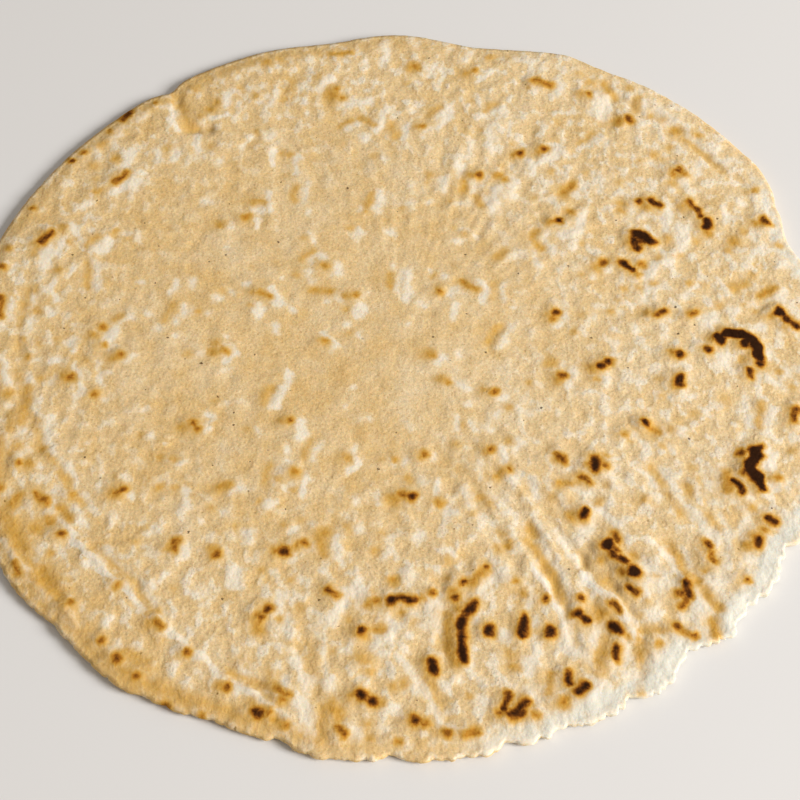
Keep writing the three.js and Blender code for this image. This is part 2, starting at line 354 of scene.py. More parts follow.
# %% The toasted marks behind the middle, on the left
MARKS += features_from([
    (-33.9, 28.5, 2, .42), (-28.9, 30, 2, .5), (-27.8, 34, -25.7, 33.9, 1.3, .33),
    (-19.8, 38.1, -20.2, 34.4, 1.2, .27), (-5.2, 35.9, -6.3, 31.9, 1.2, .27),
    (-9.3, 27.6, .9, .25), (-18.1, 20, -16.3, 21.9, 1, .27), (-18.9, 16.3, 1.3, .22),
    (-13.7, 18.3, 1.4, .42), (-15.6, 12.6, -12.4, 12.4, 2, .33), (-8, 11.5, 1.4, .55),
    (-9.3, 11.5, 1.8, .35), (-9.6, 8.5, 1.2, .25), (-25.4, 12.2, -23.7, 11.3, .7, .45),
    (-26.7, 12.2, 1.3, .33), (-27.2, 9.3, 1.5, .22), (-1.3, 16.3, -1.7, 13.3, 1, .3),
    (-36.7, 7.8, 1, .33), (-13.3, .9, 1.4, .5), (-33.1, .4, 2, .35), (-8.9, 2.8, 1.5, .2),
    (-17.8, 25.2, 1, .2), (-32.6, 12.6, 1, .22), (-58.4, 39.9, 2, .2),
    (-54.9, 38.8, -52.6, 41, .8, .66), (-65.7, 26.3, -67, 24.1, 1.3, .8), (-68.1, 23.7, 2, .35),
    (-68.5, 21.5, 1.6, .25), (-63.7, 27.4, 2.2, .33), (-57, 25.6, -58.9, 23.3, 1.4, .25),
    (-53.5, 26.9, 1.3, .3), (-61.9, 24.4, 1, .28), (-63.3, 17.4, 1.4, .32),
    (-67.2, 12.8, 1.6, .28), (-66.5, 8.1, 1.8, .33), (-68.5, 13.3, -69.3, 4.4, 1, .2),
    (-58.1, 19.3, -57.6, 13.3, 1, .25), (-53.9, 4.1, 1.5, .6), (-55.7, 2.2, 2, .38),
    (-53.3, .2, 1, .5), (-69.8, 32.6, 1, .52), (-57.8, 37, 2.5, .33), (-73.3, 22.8, 1, .38),
    (-52.2, 5.9, -50.7, 7, .8, .25), (-41.1, 9.6, -43, 5.6, 1.3, .22), (-62.2, 1.5, 1.6, .2),
    (-68.1, 1.9, 1, .3), (-73.7, 17.8, 1.2, .65), (-73.2, 11, -73, 6.5, 1.1, .6),
    (-67.8, 22.7, 2, .32), (-65.2, 1.1, 2.4, .22),
])
print(len(MARKS), "marks so far")

# %% The toasted marks behind the middle, on the right
MARKS += features_from([
    (12.6, 39.3, 12.6, 36.7, 1.5, .33), (20.7, 39.8, 1.4, .4), (14.8, 35.6, 15.9, 32.6, 1.2, .28),
    (33.3, 38.5, 31.7, 36.3, 2.2, .42), (25.9, 35.2, 1.2, .22), (30.4, 29.1, 1.3, .9),
    (28.9, 28.9, 2, .4), (32.8, 31.3, 1.2, .5),
    (26.3, 27, 25.2, 25.9, 25.6, 24.1, 26.9, 22.6, 1.4, .33), (12.4, 26.3, 1.2, .25),
    (10.6, 27.8, 1, .2), (19.8, 22, 18.5, 20.4, 1.4, .3), (7.6, 12.4, 1.3, .6),
    (7.4, 13.3, 2.4, .25), (6.7, 16.3, 1, .25), (11.9, 14.8, 14.6, 12.8, .8, .42),
    (17.8, 14.1, 17.2, 10.7, 1.1, .2), (28.7, 7.5, 1.2, .78), (28.1, 6.1, 1.3, .55),
    (27.4, 7, 2, .3), (32, 3, 1, .3), (38.3, 19.1, 1.4, .7), (37, 18.1, 2.5, .35),
    (34.1, 16.3, 1, .2), (33.7, 7, 1.2, .2), (38.9, 7.8, 1, .3), (18.5, 4.4, 16.3, .7, 1.6, .27),
    (34.4, 23.7, 1, .22), (.7, 32.6, 1, .22), (5.9, 39.3, 1.8, .22), (9.8, 34.4, 1, .2),
    (42.5, 31.8, 1.6, .36), (44.9, 26.2, 44.5, 24.4, 44.7, 22.8, 1.5, .95),
    (45, 25.8, 46.5, 25.2, 47.6, 24.3, 1.7, 1.1), (45.8, 24.2, 1.6, .8), (43.5, 23.7, 1.5, .4),
    (46.3, 34, 1, .8), (48.3, 34.4, 49.8, 32.8, 1.1, .9), (47.4, 32.6, 2, .4),
    (55.7, 33.9, 56.5, 32, 57.6, 30.6, 1, .78), (58.6, 29.2, 58.4, 27.6, 1, 1), (54.1, 33, 3, .3),
    (58.5, 26.3, 1.8, .42), (69.3, 29.6, 69.8, 28.3, 1.2, .75), (67.8, 28.9, 1.5, .4),
    (63.1, 24.3, 2.6, .4), (61.9, 22.2, 1.6, .3), (65.2, 26.7, 1.4, .28), (50.7, 24.8, 1.8, .3),
    (68.5, 36.9, 1.3, .42), (67, 36.3, 1, .25), (41.5, 19.4, 43.7, 17.4, 1, .92),
    (44.6, 16.1, .9, .5), (45.4, 18.9, 1.3, .58), (71.5, 23.5, 1.4, .27), (56.7, 14.1, 1.6, .22),
    (53.7, 14.4, .9, .3), (62.2, 13.3, 64.4, 14.1, 1.8, .3), (66.7, 11.5, 69.3, 13, 2, .42),
    (47.2, 6.7, 48.9, 7.8, .9, .72), (45.9, 7.4, 2.4, .35), (53.5, 7, 54.6, 7.5, .8, .55),
    (69.8, 7.4, 1.8, 1.4), (70.7, 6.3, 72.6, 4.4, 1.3, .92), (68.5, 6.7, 1.6, .5),
    (70.4, 4.4, 1.4, .3), (65.5, 8, 1.2, .25), (63.7, 9.3, 1, .2), (58.9, 8.9, .9, .22),
    (40.7, 10.4, 1.2, .22), (41.5, 13.3, 1.2, .3), (56, 24.5, 1.3, .22), (53, 21.1, 1, .2),
    (47.2, 14.4, 1, .25), (44.4, 13.3, 1.2, .25), (48.7, 20.4, 1.3, .28), (65.6, 16.3, 1, .2),
    (42.6, 33.7, 2, .3), (42.6, 38.9, 1.5, .2), (52.6, 38.9, 2, .3), (58.4, 1.4, 1.8, 1.5),
    (59.8, 2.5, 62.4, 2.4, 64.2, 1.1, 65, -.4, 65, -2.6, 1.2, 1.5), (62.6, .3, 1.6, 1.2),
])
print(len(MARKS), "marks so far")

# %% The toasted marks before the middle, on the left
MARKS += features_from([
    (-31.3, -1.3, 1.6, .5), (-33.3, -1.5, 2.4, .38), (-37.8, -1.9, 2, .2),
    (-36.1, -16.9, .9, .65), (-35.4, -18.1, 1.5, .62), (-37.8, -17.8, 2.2, .38),
    (-22.8, -9.3, -23.9, -12.2, 1.8, .27), (-18.9, -16.5, 1.3, .62), (-20.6, -16.3, 1.6, .35),
    (-8.9, -24.1, 1.8, .35), (-.6, -24.3, 1.2, .42), (-3, -24.4, 1, .2), (-17.8, -27.4, 1.7, .55),
    (-20.7, -28.5, 1, .27), (-22.6, -25.9, -23, -28.9, 1.2, .24),
    (-28.9, -29.5, -30.9, -30.4, 1.6, .35), (-26.5, -18.1, 1.2, .22), (-32.8, -12.2, 1.4, .2),
    (-15.6, -20.7, -16.7, -24.1, 1.2, .22), (-24, -33, 1, .25), (-39.3, -24.4, 1.4, .3),
    (-38.5, -30.4, 1.4, .3), (-.7, -32.6, 2.4, .35), (-18.1, -30.7, 1.2, .25),
    (-19.4, -37.8, 1.6, .25), (-16.7, -36.7, 1.4, .2), (-12.6, -39.3, 2.6, .38),
    (-8.9, -38.1, 1.6, .22), (-32.2, -34.4, 1.2, .22), (-28, -37.8, 1, .22),
    (-3, -39.4, 1.4, .22), (-58.7, -7.2, 2, .6), (-59.6, -6.7, 2.6, .35), (-50.2, -2.2, 1.4, .6),
    (-51.3, -2.8, 2.2, .38), (-64.3, -25.6, 1.8, .42), (-65.7, -25.3, 1, .58),
    (-64.8, -31.9, -66.3, -33.7, 1.4, .4), (-62.2, -31.5, -60.2, -33.5, 1.2, .5),
    (-47.4, -30.7, 1.4, .78), (-48.3, -31.5, 2.2, .52), (-41.1, -30, 1.4, .38),
    (-43.3, -28.9, 1, .22), (-41.5, -23.9, 1, .33), (-59.3, -37, 2.2, .42), (-57, -39.6, 1, .78),
    (-54.1, -10.9, 1.2, .52), (-62.2, -22.2, 1.2, .4),
    (-68.1, -5.9, -67, -11.5, -65.2, -14.8, -63.3, -18.5, -61.9, -23, 1, .2),
    (-61.9, -23, -58.9, -25.9, -56.3, -30.7, -54.1, -33.3, 1, .22),
    (-68.5, -15.2, -68.1, -18.5, 1, .27), (-67.4, -23.3, 1.2, .25),
    (-57.8, -34.1, -55.9, -36.3, 1.6, .36), (-64.1, -7.4, 1.2, .3), (-66.7, -2.6, 1.2, .4),
    (-45.2, -19.3, 1.2, .25), (-56.3, -3.3, 1, .22), (-49, -27.8, 1.2, .18),
    (-43.3, -38.5, 1.4, .22), (-66, -9.5, -66.6, -16.7, 2.6, .3), (-69.6, -10.4, 2.6, .34),
    (-66.7, -22, 2.2, .28), (-63.5, -16.7, 2, .2), (-68.5, -30.3, 1.8, .5),
    (-69.5, -20, -69, -32, 3.2, .22), (-67, -36, -63.2, -42.3, 4.2, .32), (-72.1, -4.7, 2, .2),
    (-61.2, -38.2, 3.4, .36), (-55.9, -31.9, 1.8, .46),
])
print(len(MARKS), "marks so far")

# %% The toasted marks before the middle, on the right
MARKS += features_from([
    (6.1, -2.2, 1.6, .4), (5.3, -2, 3, .35), (8.9, -8, 1.2, .48), (7.6, -7.4, 2.4, .3),
    (16.9, -10.3, 1.4, .62), (15.2, -9.8, 2, .3), (19.4, -13.7, 2, .26), (27.4, -3.7, 3, .28),
    (23.5, -8.1, 1.2, .28), (29.4, -6.7, 1.4, .7), (28.9, -7.4, 2.2, .4), (36.5, -4.6, 1.6, .95),
    (38, -3.7, 1.4, .95), (34.8, -5.2, 2.4, .4), (35.4, -7.4, 1.4, .32), (16.1, -22.4, 1.3, .65),
    (15.2, -23, 1.6, .35), (19.4, -26.5, 1.1, .6), (18.5, -26.7, 17.2, -28.1, 1.8, .35),
    (4.5, -23.4, 1.2, .62), (3.9, -23.9, 1.8, .35), (9.8, -21.5, 1.8, .22),
    (11.5, -17.2, 1.4, .22), (19.3, -20.7, 1.8, .27), (27.8, -23.5, 28.7, -24.8, 1, .7),
    (27.2, -24.6, 2, .3), (34.3, -24.4, 34.1, -26.3, 1.6, .95), (35.9, -25.9, 1.2, .65),
    (32.8, -25.9, 2, .4), (36.1, -23.7, 1, .3), (31.7, -28, 32.8, -29.1, 1, .7),
    (31.1, -28.9, 1.6, .32), (29.4, -29.4, 27.6, -29.6, 1.4, .42), (2.2, -32, 1.7, .9),
    (.9, -31.7, 1.8, .66), (6.9, -33.4, 1.6, .45), (14.1, -32.2, 2, .33), (15.6, -33.3, 1.6, .25),
    (1.9, -28.5, 1.6, .28), (31.9, -34.8, 31.6, -36.1, 1.3, .92), (29.6, -35.9, 3, .38),
    (12.6, -35.6, 1.6, .2), (22.2, -37.8, 23, -39.6, 1.4, .3), (36.5, -39.6, 2, .55),
    (34.4, -33, 1.2, .3), (35.9, -30, 1.4, .2), (26.7, -32.2, 1.6, .22), (17.4, -39.3, 1.5, .25),
    (21.1, -31.5, 1.4, .18), (39.6, -19.3, 1, .5), (65, -4.1, 1.3, .92),
    (63.1, -5.6, 63.1, -7, .8, .84), (61.8, -6.3, 1.6, .14), (62.2, -3, 1.8, .3),
    (50.7, -2.1, 1.7, 1), (49.4, -1.9, 1.8, .52), (56, -.9, 1.3, .95), (55.9, -2.4, 1, .16),
    (50.4, -7, 50.3, -8.7, 1.4, 1), (49.4, -8.9, 1.4, .5), (46.9, -7.4, 2.6, .22),
    (43.6, -16.7, 1.2, 1.3), (42.6, -17, 2, .32), (44.4, -17.8, 45.6, -18.5, 1.2, .42),
    (47.8, -18.5, 1.2, .25), (46.5, -11, 1.5, .22), (58.1, -11.9, 3, .2),
    (64.3, -12.6, 63.3, -17.8, .9, .28), (68.1, -5.6, .9, .33),
    (70.2, -14.1, 69.8, -16.7, 1.2, .75), (68.3, -17, 1.2, .16), (70.4, -9.3, 1, .25),
    (63.3, -22.2, 61.7, -23, .9, .95), (62, -23, 61.3, -25, 1.3, 1.5), (60, -27.2, 1.2, .85),
    (61.2, -25.2, 60.9, -26.7, 61.6, -28, 2, 1.5), (62.1, -28.9, 62.6, -30.6, 1, 1.3),
    (63.2, -24.2, .8, .8), (57.8, -28.9, 59.1, -31.1, 1.1, .95), (56.9, -27.4, 56.7, -31, 2, .4),
    (59.6, -23, 1.4, .72), (65.6, -28.5, 1.4, .52), (64.4, -28.3, 1.2, .3),
    (63, -36.5, 63.9, -37, 1.2, .95), (62, -38.7, 1.2, .5), (60.1, -39.8, 2, .38),
    (60.4, -34.4, 1.6, .33), (42.2, -32.6, 1, .32), (49.8, -29.8, 50.2, -31.5, 1.2, .28),
    (45.9, -21.5, 1, .22), (43.7, -25.9, 45.6, -29.6, 1, .22),
    (46.3, -31.5, 48.1, -35.6, 1.2, .22), (52.6, -35.6, 54.4, -38.5, 1, .2),
    (68.5, -22.6, 1.2, .25), (50.7, -25.9, 2, .18), (51.9, -28.5, 1.4, .18),
    (52.2, -14.8, 1.8, .2), (40.4, -20.7, 1, .25), (29.5, -32.9, 2.2, .18),
])
print(len(MARKS), "marks so far")

# %% The toasted marks at the front, on the left
MARKS += features_from([
    (-64.1, -45, -63.5, -46.9, .9, .55), (-46.5, -49.5, 1.5, .45), (-48.3, -59.6, 1.2, .68),
    (-45.7, -62.8, 1.7, .85), (-42.3, -65.9, 1.4, .58), (-40.9, -56.7, 2, .32),
    (-54.1, -52.8, 1, .66), (-54.6, -53, 3, .34),
    (-62.6, -44.1, -59.3, -47.8, -55.9, -51.9, 1.2, .3),
    (-50.7, -42.6, -47.4, -45.9, -44.8, -48.1, -42.2, -51.9, -40.4, -54, 1, .2),
    (-61.5, -51, -46.7, -63.7, 1.8, .2), (-58.5, -43.3, 1.6, .3),
    (-60, -46.8, -56.3, -50.9, 4.4, .33), (-51, -57, 4, .17),
    (-44.3, -61.9, -40.6, -64.2, 3, .28), (-41.5, -54.8, 2.2, .24), (-39.3, -59.5, 3, .22),
    (-39.4, -54.1, 1.8, .3), (-44.4, -41.1, 1.2, .22), (-37.4, -41.1, -37.7, -42.4, 1.4, .62),
    (-38.5, -42.2, 2, .4), (-30.4, -43.6, 1.5, .7), (-31.1, -42.6, 2.2, .38),
    (-19.1, -42.8, 1.9, .85), (-20.7, -42.8, 2.4, .45), (-22.8, -46.3, 1, .25),
    (-16, -41.4, 1.3, .6), (-16.3, -53.4, 2, .22), (-17, -41.7, 1.6, .5),
    (-13.3, -40, -12.6, -43, 2, .33), (-11.5, -50.2, -10.2, -51.1, 1.4, .68),
    (-21.5, -53.7, 1.5, .72), (-22.6, -55.2, 1.5, .7), (-23.3, -56.3, -22.6, -57.8, 2, .4),
    (-19.6, -55.9, 1.4, .35), (-5.9, -58.1, 1.9, .92), (-7, -58.1, 1.5, .35),
    (-3.9, -57.4, -2.6, -57.4, 1.2, .4), (-1.1, -52.4, 1.6, .95), (-3.5, -52.5, .8, .62),
    (-4.8, -53, 2, .4), (-.7, -48.5, 1.8, .38), (-3.9, -43, 1.4, .28), (-34.2, -61.9, 1.1, .75),
    (-27.4, -68, 1.2, .76), (-28.5, -67.8, 1.8, .35), (-22.4, -72.5, 2, .88),
    (-20.7, -72.6, 1.4, .6), (-20, -73.3, -18.1, -75, 1.6, .35), (-18.1, -75, 1.6, .5),
    (-20, -68.1, -18.5, -68.8, -17.4, -69.6, 1, .55), (-21.5, -67.8, 2, .3),
    (-5.9, -69.4, 2.2, 1), (-4.1, -70.7, 1.6, .95), (-7.8, -69.6, 1.2, .4), (-3, -70.7, 1.2, .4),
    (-9.6, -75, -8.5, -76.3, 1, .65), (-4.4, -76.7, 1.2, .35), (-.2, -77.6, 1.1, .45),
    (-14.8, -60.7, -13.7, -65.2, -12.6, -68.1, -11.9, -71.5, 2, .13),
    (-11.9, -71.5, -12.2, -77, 2.6, .27), (-5.9, -63, 4, .28), (-4.6, -65.2, 1, .3),
    (-27.8, -65.2, -24.1, -66.7, -20.7, -68.1, 1.4, .25), (-37.2, -71.1, 1.6, .56),
    (-31.3, -72.6, 1, .5), (-18, -48.1, 1, .25), (-37.2, -50, 2, .2), (-.9, -67.8, 1.6, .3),
    (-25.8, -63.2, 2.8, .18), (-20.4, -65.5, -20.2, -70.1, 2.2, .2),
    (-10.6, -71, -9.5, -73.2, 2.8, .34), (-23.2, -71, 2.2, .24), (-18.6, -70.5, 1.6, .52),
    (-5, -74.4, 2.4, .3), (-8.1, -55.9, 1.4, .25), (-10.4, -61.1, 1.2, .2),
    (-39.8, -56.3, -38.7, -57.2, .9, .55), (-4, -50.6, 2, .2),
])
print(len(MARKS), "marks so far")

# %% The toasted marks at the front, on the right
MARKS += features_from([
    (.2, -52, 2.6, -52.2, 1, .85), (4.1, -52, 1, .4), (5.6, -50.9, .9, .66),
    (10.7, -48.8, 1.1, .82), (14.8, -45.9, 13.7, -47.4, 12.2, -48.9, 1.6, .45),
    (14.9, -46.1, .8, .7), (9.3, -51.9, 1, .8),
    (12.6, -52.6, 11.5, -54.4, 10.6, -55.6, 10.2, -57.4, 10.4, -60, 10.6, -63, 1.3, .97),
    (8.3, -54.8, 8.3, -60.7, 9.3, -63.7, 2, .35), (15, -57.3, 14.9, -58.3, 1, .95),
    (20.7, -55.4, 20.4, -58.7, 1, .97), (25, -57.6, 24.9, -58.5, 1.1, .95),
    (24.9, -58.3, 2.8, .38), (20.8, -51.1, 1.6, .38), (24.4, -51.9, 1, .72),
    (19.4, -48.7, .8, .5), (18.5, -41.5, 1.2, .42), (17, -42.2, 2, .25), (30.3, -51.9, 1.2, .86),
    (29.3, -54.8, 30.9, -55.9, 1.1, .93), (33.3, -54.8, 4, .4), (34.1, -53, 2, .22),
    (35.2, -52.6, 36.3, -54.3, .8, .7), (35.2, -57.2, 36.5, -58.1, 1.2, .95),
    (37.4, -58.5, .9, .44), (35.7, -60.9, 35.5, -62.8, 1.1, .9), (33.3, -62.2, 2.6, .33),
    (32.6, -63.7, 2, .35), (27.6, -65.6, 27.4, -67.4, 1.2, .86),
    (29.9, -67.8, 28.9, -69, 1.5, .95), (26.3, -70.6, 2.4, .48),
    (24.6, -65.6, 24.1, -68.9, 1.4, .33), (17.6, -69.3, 17, -71.5, 1.2, .85),
    (16.1, -72.6, 1, .62), (20.4, -70.7, 19.3, -72.4, 18.1, -73, 1.5, .92),
    (21.9, -72.8, 1.6, .5), (2.6, -73.9, 1.9, .92), (4.3, -74.3, 1.3, .6), (7.6, -75.9, 1.3, .72),
    (10.7, -76.3, 12.4, -75.6, 1.1, .55), (.2, -77.6, 1.2, .5),
    (5.6, -63.5, 5.6, -65.2, 1.8, .95), (4.4, -63.7, 1.8, .4), (4.4, -65.2, 5.9, -68.1, 1.4, .25),
    (.9, -67.4, 1.8, .3), (18.9, -64.3, 1.4, .35), (18.1, -62.2, 2.4, .27),
    (11.5, -69.3, 1.2, .28), (21.9, -40.7, 24.1, -44.1, 25.6, -47.4, 27.4, -52.2, 1.3, .3),
    (34.4, -48.1, 3, .25), (39.3, -59.6, 39.3, -63, 1.6, .3), (35.4, -41.7, 1.9, 1.5),
    (36.6, -42.6, 1.6, .8), (34, -44.2, 2.6, .36), (35.9, -43.5, 1.6, .9),
    (37.2, -44.3, 38.2, -45, 1.2, .95), (39.3, -47.1, 1.9, 1.5),
    (38.4, -50.1, 39.3, -50.9, 1, .92), (37, -40.7, 1.3, .82), (37.4, -47, 1.6, .55),
    (39.4, -43.7, 1.4, .35), (8.3, -44.8, 1.4, .22), (8.1, -48.1, 1.6, .28), (.9, -54.4, .8, .35),
    (2.3, -56.2, 2.4, .2), (9.3, -50.7, 2.4, .42), (9.9, -53.6, 2, .36), (39.6, -55, 2, .2),
    (34.8, -52.8, 3, .26), (34.2, -58.5, 33.2, -62, 32.4, -65.5, 2.4, .24), (40.1, -61.6, 3, .2),
    (24.9, -66.9, 2.6, .18), (48.9, -46.4, 50.6, -49, 52, -51.4, 2, .16),
    (52, -41.3, 52.2, -42.1, 1, .76), (52.5, -43.2, 53.1, -45, 1.1, .62), (51.1, -46.5, 1.6, .38),
    (60.9, -40.4, 60.4, -41.8, 1.6, .97), (58.9, -41.9, 2, .4), (58, -48.6, 1, .68),
    (58, -48.6, 2, .38), (48.2, -49, 48.1, -51.2, 1, .93), (47.6, -52.3, 46.9, -53.3, .8, .62),
    (46.9, -51.1, 1.8, .78), (45.7, -57, 1.1, .82), (45.9, -57.8, 48.3, -58.4, .8, .48),
    (48.6, -58.5, 1, .78), (40, -57.8, 44.8, -57.8, 1, .28), (42.4, -60.2, 1.1, .45),
    (40.4, -61.7, 2, .2),
    (46.1, -41.9, 47.4, -45.6, 48.9, -48.1, 51.1, -50.7, 53, -53.7, 1.4, .3),
    (50, -48.5, 1.6, .38), (51.9, -55.9, 52, -58.5, 1.4, .38), (57.2, -47, 1, .12),
    (43.1, -47.8, 1.2, .2), (41.1, -52.6, 1.2, .2),
])
print(len(MARKS), "marks so far")

# %% [markdown]
# ## The pale patches
# Dry flour of the dough stays on what stands proud and doesn't touch the metal, and the
# flanks and crests that face the light look whiter still, so these whitish patches are partly
# flour and partly painted highlight: on the shoulders of the blisters and along the crests of
# the folds. They are listed like the marks, because they lie beside the marks and along the
# creases, with a radius and a strength as the last two numbers. A strength above 1 is whiter
# and has a sharper edge.

# %% The pale patches at the back, on the left
PALE_AND_LIT_PATCHES += features_from([  # x, y of each point of the line, then radius and strength
    (-13.3, 66.9, -16.1, 63.3, .8, 1), (-32.6, 66.7, .9, .75), (-29.3, 69.3, 1.3, .5),
    (-27.4, 64.1, 1.1, .75), (-24.1, 62.6, -25.4, 59.3, .9, .75),
    (-33.3, 63, -34.8, 59.3, 1, .75), (-33.7, 56.5, -37.4, 55.4, .8, 1), (-32.2, 59.3, .8, .75),
    (-27.4, 60.4, .7, .75), (-23.7, 56.5, .7, .75), (-18.7, 57, .8, .75), (-18.9, 60, 1.1, .75),
    (-18.3, 63.7, .8, .5), (-15.7, 59.6, 1.1, .75), (-10.7, 58.9, -5.6, 60.4, 1.1, .75),
    (-2.2, 58.5, -3.9, 52.6, .8, 1), (-6.7, 50.4, 1.2, .75), (-25, 50.7, 1, .75),
    (-28.9, 50.7, -30.7, 48.1, .8, .75), (-25, 47, -24.3, 43.7, .9, 1),
    (-19.6, 46.7, -20, 41.5, .6, .75), (-35, 43.9, .9, .75), (-33.5, 47.8, .9, .5),
    (-39.3, 51.5, -39.8, 47, .9, .75), (-16.1, 47.4, 1, .5), (-2.6, 76.7, -3, 70.7, 1.3, .75),
    (-10.4, 71.5, .9, .75), (-6.5, 71.1, .9, .75), (-17.4, 71.1, 1.1, .5), (-24.1, 69.3, .9, .75),
    (-1.1, 68.9, .8, .75), (-36.7, 62.2, .8, .5), (-47, 59.3, 1, .75),
    (-45.2, 59.3, -43.9, 52.6, 1, .75), (-50.7, 56.3, 1.5, .75), (-52, 47, -53, 43, 1.2, 1),
    (-49.8, 41, 1.1, 1), (-47.2, 47, -46.7, 43.7, .9, .75), (-43.9, 48.5, -43.3, 45.2, .9, .75),
    (-59.4, 47, .8, .75), (-56.3, 50.4, -53.3, 54.4, .8, .75),
])
print(len(PALE_AND_LIT_PATCHES), "pale patches so far")

# %% The pale patches at the back, on the right
PALE_AND_LIT_PATCHES += features_from([
    (18.5, 68.5, 16.3, 65.6, .9, 1), (7.8, 71.1, 5.9, 67.4, 1, .75),
    (8.9, 69.6, 8.5, 66.3, .8, .75), (14.8, 73.7, 12.6, 70.7, 1, .75),
    (24.4, 71.5, 27.4, 70.7, 1, .75), (25.2, 67, 1.1, .75), (29.3, 68.9, .9, .75),
    (32.6, 64.1, 31.5, 61.9, .9, .75), (39.6, 61.5, 38.9, 57, 1.2, .75), (12.8, 61.1, .7, .75),
    (5.7, 64.1, .8, .75), (2.8, 57.8, 1.1, .75), (1.7, 53.7, 1.3, 50.7, .8, 1),
    (10.2, 57, 7.8, 53, 1, .75), (16.9, 56.1, .8, .75), (20.9, 57.8, .7, .75),
    (23.3, 56.3, .7, .5), (18.5, 53.3, 18.1, 47, 1, .75), (22, 53.7, 21.3, 51.1, .7, .75),
    (14.3, 49.6, 13.7, 46.3, .9, .5), (12, 43.7, 11.3, 40.7, .9, .75), (4.6, 51.1, .6, .75),
    (30.7, 48.9, 30.4, 45.2, .9, 1), (29.5, 44.6, 25.9, 43.7, .8, 1),
    (25.9, 44.1, 25.6, 41.1, .9, 1), (32.2, 41.1, 1.1, .75), (31.3, 52.2, .9, .5),
    (38.9, 46, .8, .5), (3.7, 76.1, 1.2, .75), (10.4, 74.4, .9, .75),
    (41.1, 61.5, 40.7, 56.3, 1.4, 1), (45.6, 61.5, 1.2, .75), (51.5, 58.1, 53.7, 54.8, 1.4, .75),
    (57.4, 53.7, 57, 50.7, .9, .75), (61.9, 48.5, 1.5, .75), (47.8, 54.1, 1.2, .75),
    (40.6, 48.9, 1.2, .75), (44.1, 45.9, 1, .5), (58.5, 43.7, 57.8, 40.7, .8, .75),
    (56.5, 41.1, .8, .75), (51.9, 50.7, 1, .75), (48.5, 48.5, .9, .5), (64.4, 44.4, 1.5, .75),
])
print(len(PALE_AND_LIT_PATCHES), "pale patches so far")

# %% The pale patches behind the middle, on the left
PALE_AND_LIT_PATCHES += features_from([
    (-25, 35.6, -24.3, 31.9, .8, 1), (-27.3, 29.6, -26.9, 27.8, .7, 1), (-31.7, 28.1, .9, .75),
    (-36.9, 33.9, 1.3, .75), (-17.2, 31.5, .9, .75), (-7.4, 32.8, .9, .75),
    (-3.5, 36.7, -4.4, 32.2, .7, .75), (-6.4, 32, 1, .9), (-7.8, 26.3, 1.5, .75),
    (-1.7, 26.5, 1.3, .75), (-14.1, 20.7, 1.2, .75), (-11.5, 18.9, -11.3, 16.3, 1.1, .75),
    (-16.5, 17, 1.3, .75), (-15.9, 14.4, .9, .75), (-13, 15.9, .8, .75),
    (-23.1, 12.6, -21.9, 9.3, .9, 1), (-26.1, 8.5, -25.6, 6.3, .8, 1), (-33.3, 10.7, 1.2, .75),
    (-28.1, 14.1, 1, .75), (-38.3, 14.4, 1.3, .75), (-38.9, 7.8, 1.6, .75),
    (-11.1, 11.1, .9, .75), (-12.8, 10.4, .7, .75), (-6.7, 11.5, .6, .75),
    (-6.7, 9.1, -7.2, 6.7, .8, 1), (-19.6, 8.1, 1.1, .75), (-22.4, 4.1, 1.3, .75),
    (-9.3, 4.8, .9, .75), (-30.9, 2.4, .8, .75), (-13, 3, -11.5, .4, .9, .75), (-7, 1.9, .9, .75),
    (-22, 15.9, .7, .75), (-.4, 13.7, 1.2, .75), (-.7, 18.1, 1, .75), (-32.2, 23, 1, .5),
    (-16.3, 25.9, 1.2, .5), (-23.3, 27.8, 1.4, .5), (-17.8, 38.9, 1.5, .5),
    (-26.6, 32.3, 1.2, .9), (-30, 32.2, .8, .5), (-50, 38.9, -54.4, 36.5, 1.1, 1),
    (-58.9, 35.2, -60, 31.9, .8, .75), (-61.9, 28.1, -60.7, 26.7, 1, 1),
    (-63, 24.8, -63.7, 21.5, .8, 1), (-60.2, 25.2, -59.4, 22.2, .6, .75), (-58.1, 27.2, .7, .75),
    (-54.4, 24.8, -56.3, 21.9, 1, 1), (-51.9, 26.7, .7, .75), (-49.1, 25.2, 1, .75),
    (-66.3, 22.2, -66.1, 17.8, .9, 1), (-71.1, 18.1, -72.2, 17, 1, .75), (-68.9, 18.1, .9, .5),
    (-60.2, 17.8, -61.5, 15.9, .7, .75), (-58.1, 21.7, -57, 19.3, .5, .75),
    (-64.1, 14.4, -63.5, 10.7, .7, .75), (-63.7, 7.4, 1.1, 1), (-67, 5.9, 1.2, .75),
    (-67, 10.7, .9, .75), (-71.3, 10.4, -70.6, 8.1, .7, .75), (-72, 6.3, .7, .75),
    (-47.8, 14.8, .9, .75), (-49.3, 7, .9, .75), (-51.9, 3.7, -53, .7, 1.3, 1),
    (-43.7, 3.7, 1.3, .75), (-45.6, 7, .8, .75), (-59.3, 1.1, 1.2, .75), (-59.3, 4.8, .8, .75),
    (-41.1, 14.4, -42.2, 11.5, .8, .75), (-40.7, 1.9, .9, .75), (-73, 24, .8, .75),
])
print(len(PALE_AND_LIT_PATCHES), "pale patches so far")

